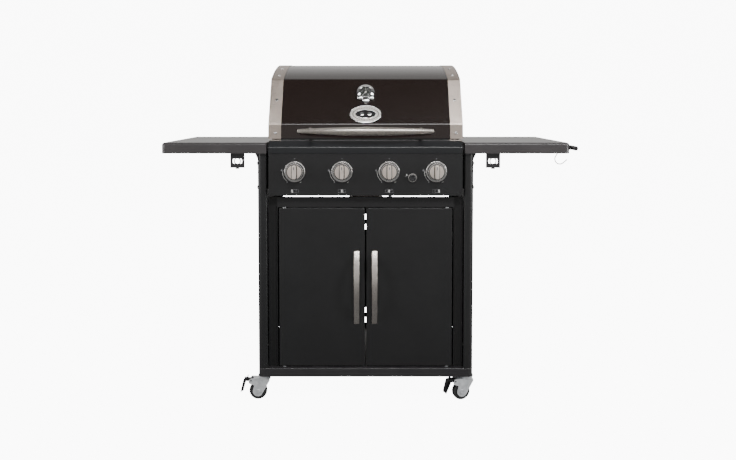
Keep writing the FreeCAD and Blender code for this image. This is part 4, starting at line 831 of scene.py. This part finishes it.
@dataclass
class Gauge:
    """The hood's thermometer: a chromed housing with a chin, a dial card, ticks, needle and glass.

    Attributes:
        joint: the record's joint of the needle, which gives the dial's middle and its slope.
        radius: half the housing's width.
        window: half the glass's width.
        thick: how far the rim stands off the hood.
        dial_lift: how far the dial stands off the hood.
        needle_lift: how far the needle stands off the hood.
        needle_rest: the needle's turn from straight up when the grill is cold.
        chin_drop: how far below the middle the chin is centred.
        chin_radius: half the chin's width.
        cheek_out: how far each cheek is from the middle, sideways.
        cheek_drop: how far below the middle the cheeks are centred.
        cheek_radius: half a cheek's width.
        neck_drop: how far below the middle the neck is centred.
        neck_radius: half the neck's width.
        ticks: how many marks the dial has.
        sweep: the angle between the first mark and the last.
    """

    joint: dict
    radius: float = 31.0
    window: float = 18.5
    thick: float = 12.0
    dial_lift: float = 4.2
    needle_lift: float = 5.5
    needle_rest: float = 135.0
    chin_drop: float = 29.0
    chin_radius: float = 12.5
    cheek_out: float = 19.0
    cheek_drop: float = 20.0
    cheek_radius: float = 10.5
    neck_drop: float = 38.5
    neck_radius: float = 7.0
    ticks: int = 11
    sweep: float = 270.0

    def seat(self, piece: bpy.types.Object, lift: float = 0.0, right: float = 0.0, up: float = 0.0,
             spin: float = 0.0) -> bpy.types.Object:
        """Put a piece modelled about Z on the hood's sloping front.

        Args:
            piece: the piece.
            lift: its distance off the hood, in millimetres.
            right: its distance to the right of the dial's middle.
            up: its distance up the slope from the dial's middle.
            spin: a turn about its own Z, in degrees.

        Returns:
            The piece.
        """
        out = -Vector(self.joint["axis"])
        across = Vector((1, 0, 0))
        along = out.cross(across)
        middle = Vector(self.joint["pos_m"]) - out * self.needle_lift * MM
        matrix = Matrix((across, along, out)).transposed().to_4x4()
        matrix.translation = middle + (out * lift + across * right + along * up) * MM
        pick(piece)
        piece.matrix_world = matrix @ Matrix.Rotation(math.radians(spin), 4, "Z")
        bpy.ops.object.transform_apply(location=True, rotation=True, scale=True)
        return piece

    def lobe(self, radius: float) -> bpy.types.Object:
        """Turn one domed lobe of the housing."""
        return turned([(radius - 1, 0.4), (radius, 1.5), (radius, 6.0), (radius * 0.9, 8.2),
                       (radius * 0.7, 9.4), (radius * 0.4, 10.1), (radius * 0.1, 10.3)])

    def build(self) -> None:
        """Model the housing, the dial and what lies over it."""
        inner, outer = self.window, self.radius
        rim = ring([(inner, 3.0), (inner, 8.5), (inner + 0.8, 10.6), (inner + 2.4, self.thick),
                    (inner + 4.6, 10.8), (outer - 4.4, 8.0), (outer - 1.2, 6.4), (outer, 4.4), (outer, 0.4),
                    (inner - 4, 0.4), (inner - 4, 3.0)])
        chin = self.lobe(self.chin_radius)
        neck = turned([(self.neck_radius, 0.4), (self.neck_radius, 5.0), (self.neck_radius - 1.5, 6.8)], 40)
        housing = [self.seat(rim), self.seat(chin, up=-self.chin_drop), self.seat(neck, up=-self.neck_drop)]
        for side in (-1, 1):
            cheek = self.lobe(self.cheek_radius)
            housing.append(self.seat(cheek, right=side * self.cheek_out, up=-self.cheek_drop))
        dress(join(housing), "gauge_housing", CHROME, "hood", ("thermometer",))
        card = turned([(self.window - 0.2, self.dial_lift - 1.0), (self.window - 0.2, self.dial_lift),
                       (self.window - 1.2, self.dial_lift + 0.1)])
        dress(self.seat(card), "gauge_dial", DIAL, "hood")
        marks = []
        for step in range(self.ticks):
            angle = (step / (self.ticks - 1) - 0.5) * self.sweep
            long = step % 5 == 0
            start, end = self.window * (0.56 if long else 0.68), self.window * 0.86
            half = 0.75 if long else 0.5
            mark = plate([[(-half, start), (half, start), (half, end), (-half, end)]], 0.2)
            marks.append(self.seat(mark, lift=self.dial_lift + 0.25, spin=-angle))
        dress(join(marks), "gauge_ticks", PRINT, "hood")
        blade = plate([[(-0.5, -6), (0.5, -6), (0.9, 0), (0.25, self.window - 5), (-0.25, self.window - 5),
                        (-0.9, 0)]], 0.6)
        boss = turned([(2.8, 5.2), (2.8, 6.2), (2.0, 6.8)], 32)
        needle = join([self.seat(blade, lift=self.needle_lift, spin=self.needle_rest), self.seat(boss)])
        dress(needle, "gauge_needle", NEEDLE, "needle", ("thermometer_needle",))
        glass = turned([(self.window - 0.1, 9.0), (self.window - 0.1, 10.0), (self.window - 3, 10.5),
                        (self.window - 9, 10.8)])
        dress(self.seat(glass), "gauge_glass", Glass(), "hood")


@dataclass
class Badge:
    """A plain oval plate on the hood: a bright rim, a satin field and a dark middle with two bosses.

    Attributes:
        gauge: the thermometer above it, on the same slope.
        half_wide: half its width.
        half_tall: half its height.
        thick: its thickness.
        rim: the bright rim's width.
        middle_wide: the dark middle's share of the width.
        middle_tall: the dark middle's share of the height.
        boss_offset: each boss's distance from the middle.
        boss_radius: half a boss's width.
        dots: how many small dots lie round the field.
    """

    gauge: Gauge
    half_wide: float = 54.0
    half_tall: float = 33.5
    thick: float = 3.0
    rim: float = 3.0
    middle_wide: float = 0.63
    middle_tall: float = 0.45
    boss_offset: float = 12.5
    boss_radius: float = 6.5
    dots: int = 30

    def drop(self) -> float:
        """How far the badge's middle is from the dial's, up the slope, in millimetres."""
        out = -Vector(self.gauge.joint["axis"])
        along = out.cross(Vector((1, 0, 0)))
        return (middle_of("hood_badge") - Vector(self.gauge.joint["pos_m"])).dot(along) / MM

    def seat(self, piece: bpy.types.Object, lift: float, right: float = 0.0) -> bpy.types.Object:
        """Put a piece modelled about Z on the badge's place.

        Args:
            piece: the piece.
            lift: its distance off the hood, in millimetres.
            right: its distance to the right of the badge's middle.

        Returns:
            The piece.
        """
        return self.gauge.seat(piece, lift, right, self.drop())

    def build(self) -> None:
        """Cut the rim, the field, the middle and the bosses."""
        inside = oval(self.half_wide - self.rim, self.half_tall - self.rim)
        rim = plate([oval(self.half_wide, self.half_tall), inside], self.thick - 0.6, 0.8)
        dress(self.seat(rim, self.thick / 2 + 0.2), "badge_rim", CHROME, "hood", ("hood_badge",))
        field_plate = plate([oval(self.half_wide - self.rim + 0.3, self.half_tall - self.rim + 0.3)], 1.4)
        dress(self.seat(field_plate, 1.3), "badge_field", BADGE_SATIN, "hood")
        wide, tall = self.half_wide * self.middle_wide, self.half_tall * self.middle_tall
        lip = plate([oval(wide + 1.4, tall + 1.4), oval(wide, tall)], 1.2, 0.4)
        dress(self.seat(lip, 2.3), "badge_lip", CHROME, "hood")
        middle = plate([oval(wide, tall)], 0.5)
        dress(self.seat(middle, 2.2), "badge_middle", BADGE_BLACK, "hood")
        dots = []
        for x, y in oval((self.half_wide + wide) / 2 - 1, (self.half_tall + tall) / 2 - 1, count=self.dots):
            dot = turned([(2.2, 1.9), (2.2, 2.2), (1.7, 2.35)], 12)
            dots.append(self.gauge.seat(dot, 0.0, x, self.drop() + y))
        dress(join(dots), "badge_dots", BADGE_BLACK, "hood")
        bosses = []
        for side in (-1, 1):
            boss = turned([(self.boss_radius, 2.2), (self.boss_radius, 2.6), (self.boss_radius * 0.8, 3.1),
                           (self.boss_radius * 0.4, 3.3)], 32)
            bosses.append(self.seat(boss, 0.0, side * self.boss_offset))
        dress(join(bosses), "badge_bosses", CHROME, "hood")


# ---------------------------------------------------------------- control panel

@dataclass
class Knob:
    """A spun metal knob with a groove round its face and a bar across it; black nylon in the groove and round
    the bar is painted shade.

    Attributes:
        number: which of the four, from the left.
        radius: half its width.
        face: half the width of its spun face.
        stand: how far its skirt stands off the panel.
        skirt: its skirt's thickness.
        grip_wide: the bar's width.
        grip_tall: the bar's length.
        grip_round: the round of the bar's corners.
        grip_rise: how far the bar stands off the knob's face.
    """

    number: int
    radius: float = 28.5
    face: float = 23.4
    stand: float = 9.0
    skirt: float = 10.0
    grip_wide: float = 12.6
    grip_tall: float = 44.0
    grip_round: float = 5.0
    grip_rise: float = 17.5

    def build(self) -> None:
        """Turn the disc, cut the bar and set its pointer."""
        low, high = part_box(f"knob_{self.number}")
        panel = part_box("control_panel")[0].y
        at = Vector(((low.x + high.x) / 2, panel - self.stand * MM, (low.z + high.z) / 2))
        outer = self.radius
        rim = turned([(outer - 2, 0), (outer, 1), (outer, self.skirt - 3), (outer - 0.5, self.skirt - 1.2),
                      (outer - 2.6, self.skirt - 1.0), (outer - 2.9, self.skirt - 2)], 96)
        groove = turned([(self.face + 2.6, 1), (self.face + 2.6, self.skirt - 1.6),
                         (self.face, self.skirt - 1.4)], 96)
        disc = turned([(self.face, 2), (self.face, self.skirt), (self.face - 0.8, self.skirt + 0.8),
                       (self.face - 8, self.skirt + 1.2)], 96)
        corner = self.grip_round / self.grip_tall
        outline = oval(self.grip_wide / 2, self.grip_tall / 2, power=2 / (corner * 2.6), count=64)
        grip = plate([outline], self.grip_rise, 1.6, 3)
        stem = turned([(5.0, 0), (5.0, (high.y - at.y) / MM)], 24)
        body = f"turn_{self.number}"
        dress(place(rim, Turn.FORWARD, at), f"knob_rim_{self.number}", SATIN_CHROME, body,
              (f"knob_{self.number}",))
        # The black ring in the groove and the black plate round the bar are painted shade in the groove and
        # beside the bar.
        dark = [place(groove, Turn.FORWARD, at)]
        slot = plate([oval(self.grip_wide / 2 + 3.0, self.face - 0.9, power=7.0, count=64)], 0.5)
        dark.append(place(slot, Turn.FORWARD, at - Vector((0, self.skirt + 1.25, 0)) * MM))
        dress(join(dark), f"knob_groove_shade_{self.number}", PLASTIC, body)
        parts = [place(disc, Turn.FORWARD, at),
                 place(grip, Turn.FORWARD, at - Vector((0, self.skirt + self.grip_rise / 2 - 0.5, 0)) * MM),
                 place(stem, Turn.FORWARD, Vector((at.x, high.y, at.z)))]
        dress(join(parts), f"control_knob_{self.number}", SATIN_NICKEL, body)
        front = at.y - (self.skirt + self.grip_rise - 0.5) * MM
        pointer = plate([oval(1.3, 5.0, (0, self.grip_tall / 2 - 9), 4.0, 24)], 0.4)
        place(pointer, Turn.FORWARD, Vector((at.x, front, at.z)))
        dress(pointer, f"knob_pointer_{self.number}", PRINT_GREY, body)


@dataclass
class Bezels:
    """A chromed ring round each knob.

    Attributes:
        radius: half a ring's width.
        hole: half the width inside it.
        thick: how far it stands off the panel.
    """

    radius: float = 35.0
    hole: float = 30.0
    thick: float = 3.0

    def build(self) -> None:
        """Spin one ring, copy it to each knob and join them."""
        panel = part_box("control_panel")[0].y
        rings = []
        for number in KNOBS:
            section = [(self.hole, 0), (self.radius, 0), (self.radius, 1.2),
                       (self.radius - 1, self.thick - 0.3), (self.radius - 1.6, self.thick),
                       (self.hole + 0.4, self.thick), (self.hole, 2.4)]
            middle = middle_of(f"knob_{number}")
            rings.append(place(ring(section, 96), Turn.FORWARD, Vector((middle.x, panel, middle.z))))
        dress(join(rings), "knob_bezel_rings", SATIN_CHROME, "cart", ("knob_bezels",))


class Sign(Enum):
    """Marks printed round a knob."""

    ARC = "arc"
    FLAMES = "flames"
    BURNER = "burner"


@dataclass
class PanelPrint:
    """What is printed on the control panel: an arc and flames beside each knob, and its burner below.

    Attributes:
        arc_radius: half the arc's width.
        line: the arc's thickness.
        arc_from: the arc's first angle, in degrees from the right, anticlockwise.
        arc_to: its last angle.
        dash_from: the first angle of the short dash on the other side.
        dash_to: its last angle.
        icon_drop: how far below a knob its burner mark is.
        cell_wide: width of one cell of that mark.
        cell_tall: height of that mark.
        cell_gap: the space between its cells.
        film: how thick the print lies on the panel.
        spark_left: how far the igniter's spark is to the left of its button.
        spark_up: how far it is over the button's middle.
        spark_size: its height.
    """

    arc_radius: float = 40.0
    line: float = 1.0
    arc_from: float = 178.0
    arc_to: float = 232.0
    dash_from: float = 296.0
    dash_to: float = 304.0
    icon_drop: float = 64.0
    cell_wide: float = 8.0
    cell_tall: float = 11.0
    cell_gap: float = 0.8
    film: float = 0.24
    spark_left: float = 19.0
    spark_up: float = 9.5
    spark_size: float = 7.5

    def at(self, number: int) -> Vector:
        """The point on the panel behind a knob's middle."""
        middle = middle_of(f"knob_{number}")
        return Vector((middle.x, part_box("control_panel")[0].y - self.film / 2 * MM, middle.z))

    def arc(self, start: float, end: float, radius: float, line: float) -> list[tuple[float, float]]:
        """Corners of a curved stripe.

        Args:
            start: its first angle in degrees.
            end: its last angle in degrees.
            radius: its middle line's radius.
            line: its thickness.

        Returns:
            The outline's corners.
        """
        angles = [math.radians(start + (end - start) * step / 24) for step in range(25)]
        outer = [((radius + line / 2) * math.cos(a), (radius + line / 2) * math.sin(a)) for a in angles]
        inner = [((radius - line / 2) * math.cos(a), (radius - line / 2) * math.sin(a)) for a in angles]
        return outer + inner[::-1]

    def flame(self, x: float, y: float, size: float) -> list[tuple[float, float]]:
        """Corners of a small flame.

        Args:
            x: its middle, to the right.
            y: its middle, upwards.
            size: its height.

        Returns:
            The outline's corners.
        """
        corners = ((0, -0.5), (0.38, -0.32), (0.4, 0.0), (0.16, 0.22), (0.12, 0.55), (-0.14, 0.28),
                   (-0.24, 0.12), (-0.4, 0.0), (-0.36, -0.34))
        return [(x + across * size, y + up * size) for across, up in corners]

    def box_outline(self, x: float, y: float, wide: float, tall: float) -> list[tuple[float, float]]:
        """Corners of a small upright rectangle.

        Args:
            x: its middle, to the right.
            y: its middle, upwards.
            wide: its width.
            tall: its height.

        Returns:
            The outline's corners.
        """
        return [(x - wide / 2, y - tall / 2), (x + wide / 2, y - tall / 2), (x + wide / 2, y + tall / 2),
                (x - wide / 2, y + tall / 2)]

    def outlines(self, sign: Sign) -> list[list[tuple[float, float]]]:
        """The outlines of one kind of mark beside a knob.

        Args:
            sign: which mark.

        Returns:
            Closed outlines, those inside others being holes.
        """
        if sign is Sign.ARC:
            return [self.arc(self.arc_from, self.arc_to, self.arc_radius, self.line),
                    self.arc(self.dash_from, self.dash_to, self.arc_radius, self.line)]
        if sign is Sign.FLAMES:
            return [self.flame(-self.arc_radius - 3.0, 5.0, 8.0), self.flame(-25.0, -34.5, 5.0),
                    self.flame(0.0, self.arc_radius + 3.0, 3.6)]
        return [self.box_outline((cell - 1) * (self.cell_wide + self.cell_gap), -self.icon_drop,
                                 self.cell_wide, self.cell_tall) for cell in range(3)]

    def build(self) -> None:
        """Cut every mark as a thin film and join each kind."""
        white, grey = [], []
        for number in KNOBS:
            at = self.at(number)
            for sign, kind in ((Sign.ARC, white), (Sign.FLAMES, grey)):
                for outline in self.outlines(sign):
                    kind.append(place(plate([outline], self.film), Turn.FORWARD, at))
            lit = (0, 1, 1, 2)[number - 1]
            for cell, outline in enumerate(self.outlines(Sign.BURNER)):
                x = (cell - 1) * (self.cell_wide + self.cell_gap)
                inner = self.box_outline(x, -self.icon_drop, self.cell_wide - 1.2, self.cell_tall - 1.2)
                if cell == lit:
                    bright = self.box_outline(x, -self.icon_drop, self.cell_wide * 0.55, self.cell_tall - 2)
                    white.append(place(plate([bright], self.film), Turn.FORWARD, at))
                grey.append(place(plate([outline, inner], self.film), Turn.FORWARD, at))
        button = middle_of("igniter_button")
        spark = plate([self.flame(-self.spark_left, self.spark_up, self.spark_size)], self.film)
        white.append(place(spark, Turn.FORWARD, Vector((button.x, self.at(1).y, button.z))))
        dress(join(white), "panel_marks", PRINT, "cart")
        dress(join(grey), "panel_burner_frames", PRINT_GREY, "cart")


@dataclass
class Igniter:
    """The ignition button and the chromed ring it slides in.

    Attributes:
        ring_radius: half the ring's width.
        hole: half the width inside it.
        thick: how far the ring stands off the panel.
    """

    ring_radius: float = 15.2
    hole: float = 10.3
    thick: float = 4.4

    def build(self) -> None:
        """Spin the ring and turn the button."""
        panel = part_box("control_panel")[0].y
        low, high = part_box("igniter_button")
        at = Vector(((low.x + high.x) / 2, panel, (low.z + high.z) / 2))
        section = [(self.hole, 0), (self.ring_radius, 0), (self.ring_radius, self.thick - 1.6),
                   (self.ring_radius - 1.4, self.thick - 0.2), (self.hole + 1.6, self.thick),
                   (self.hole, self.thick - 1)]
        collar = place(ring(section, 48), Turn.FORWARD, at)
        dress(collar, "igniter_ring", SATIN_CHROME, "cart")
        radius, deep = (high.x - low.x) / 2 / MM, (high.y - low.y) / MM
        button = turned([(radius, 0), (radius, deep - 2.4), (radius - 0.6, deep - 0.8), (radius - 2, deep),
                         (radius - 3.2, deep - 0.4), (radius - 6, deep - 1.2)], 48)
        place(button, Turn.FORWARD, Vector((at.x, high.y, at.z)))
        dress(button, "igniter_push_button", PLASTIC, "button", ("igniter_button",))


# ---------------------------------------------------------------- doors and casters

@dataclass
class DoorHandle:
    """A wide bowed strap of satin steel on a door.

    Attributes:
        side: which door.
        thick: the strap's thickness in the middle.
        foot: length of each end that stands on the door.
        steps: how many straight steps its bow is cut in.
    """

    side: str
    thick: float = 6.0
    foot: float = 16.0
    steps: int = 28

    def build(self) -> None:
        """Cut the strap's side outline and give it the strap's width."""
        low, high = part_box(f"door_handle_{self.side}")
        half, bow, wide = (high.z - low.z) / 2 / MM, (high.y - low.y) / MM, (high.x - low.x) / MM
        outer, inner = [], []
        for step in range(self.steps + 1):
            share = 2 * step / self.steps - 1
            outer.append((bow * (1 - share * share), share * half))
            inner.append(((bow - self.thick) * (1 - share * share), share * (half - self.foot)))
        strap = plate([outer + inner[::-1]], wide, 1.4, 3)
        middle = Vector(((low.x + high.x) / 2, high.y, (low.z + high.z) / 2))
        place(strap, Turn.SIDE, middle)
        dress(strap, f"door_strap_{self.side}", STAINLESS_TALL, f"{self.side}_door",
              (f"door_handle_{self.side}",), 50.0)


@dataclass
class Wheel:
    """A rubber tyre with a crowned tread on a nylon hub.

    Attributes:
        corner: which caster.
        joint: the record's rolling joint.
        radius: half the wheel's height.
        hub_radius: half the hub's height.
        half_wide: half its width.
        bore: half the axle hole's width.
    """

    corner: str
    joint: dict
    radius: float = 30.0
    hub_radius: float = 21.0
    half_wide: float = 10.0
    bore: float = 4.2

    def seat(self, piece: bpy.types.Object) -> bpy.types.Object:
        """Stand a piece modelled about Z on the wheel's axle.

        Args:
            piece: the piece.

        Returns:
            The piece.
        """
        axle = Vector(self.joint["axis"]).normalized()
        up = Vector((0, 0, 1))
        matrix = Matrix((up, axle.cross(up), axle)).transposed().to_4x4()
        matrix.translation = Vector(self.joint["pos_m"])
        pick(piece)
        piece.matrix_world = matrix
        bpy.ops.object.transform_apply(location=True, rotation=True, scale=True)
        return piece

    def build(self) -> None:
        """Spin the tyre and the hub."""
        wide, outer, inner, bore = self.half_wide, self.radius, self.hub_radius, self.bore
        tyre = ring([(inner, -wide + 0.6), (inner + 2, -wide), (outer - 4, -wide),
                     (outer - 1.6, -wide + 1.6), (outer - 0.3, -wide + 4.5), (outer, 0),
                     (outer - 0.3, wide - 4.5), (outer - 1.6, wide - 1.6), (outer - 4, wide),
                     (inner + 2, wide), (inner, wide - 0.6)], 72)
        body = f"wheel_{self.corner}"
        dress(self.seat(tyre), f"tyre_{self.corner}", RUBBER, body,
              (f"caster_wheel_{self.corner}",))
        hub = ring([(bore, -wide), (bore + 5, -wide), (bore + 6, -wide + 3), (inner - 3, -wide + 3),
                    (inner - 1.5, -wide + 0.8), (inner, -wide + 0.6), (inner, wide - 0.6),
                    (inner - 1.5, wide - 0.8), (inner - 3, wide - 3), (bore + 6, wide - 3),
                    (bore + 5, wide), (bore, wide)], 60)
        dress(self.seat(hub), f"hub_{self.corner}", PLASTIC_GREY, body)


@dataclass
class Pedal:
    """The moulded pad that covers a front caster's brake pedal.

    Attributes:
        side: which front caster.
        thick: the lever's thickness.
        wide: its width.
        knee: how far in from its tip the lever bends.
        neck: length of the part over the fork.
    """

    side: str
    thick: float = 8.0
    wide: float = 20.0
    knee: float = 14.0
    neck: float = 12.0

    def build(self) -> None:
        """Cut the lever's side outline and give it its width."""
        low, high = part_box(f"brake_pedal_front_{self.side}")
        half = (high.x - low.x) / 2 / MM
        tall = (high.z - low.z) / 2 / MM
        bend = self.knee - half
        outline = [(-half, -tall + 2), (self.thick - half, -tall), (bend + 3, tall - self.neck),
                   (bend + self.neck, tall - self.neck + 1), (bend + self.neck, tall - 5),
                   (bend - 2, tall - 4), (bend - 6, tall - self.neck)]
        lever = plate([outline], self.wide, 1.2)
        place(lever, Turn.FORWARD, (low + high) / 2)
        dress(lever, f"pedal_pad_{self.side}", PLASTIC, f"pedal_front_{self.side}")


def main() -> None:
    """Build the looks in order."""
    logging.basicConfig(level=logging.INFO, format="%(name)s %(message)s")
    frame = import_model()
    clear()
    Camera().build()
    Studio().build()
    finish_frame(frame["nodes"])
    joints = {joint["name"]: joint for joint in frame["joints"]}
    gauge = Gauge(joints["needle_sweep"])
    parts = [HoodHandle(), gauge, Badge(gauge), Bezels(), PanelPrint(), Igniter(),
             *(Knob(number) for number in KNOBS), *(DoorHandle(side) for side in SIDES),
             *(Pedal(side) for side in SIDES),
             *(Wheel(corner, joints[f"roll_{corner}"]) for corner in CORNERS)]
    for part in parts:
        part.build()


if __name__ == "__main__":
    main()
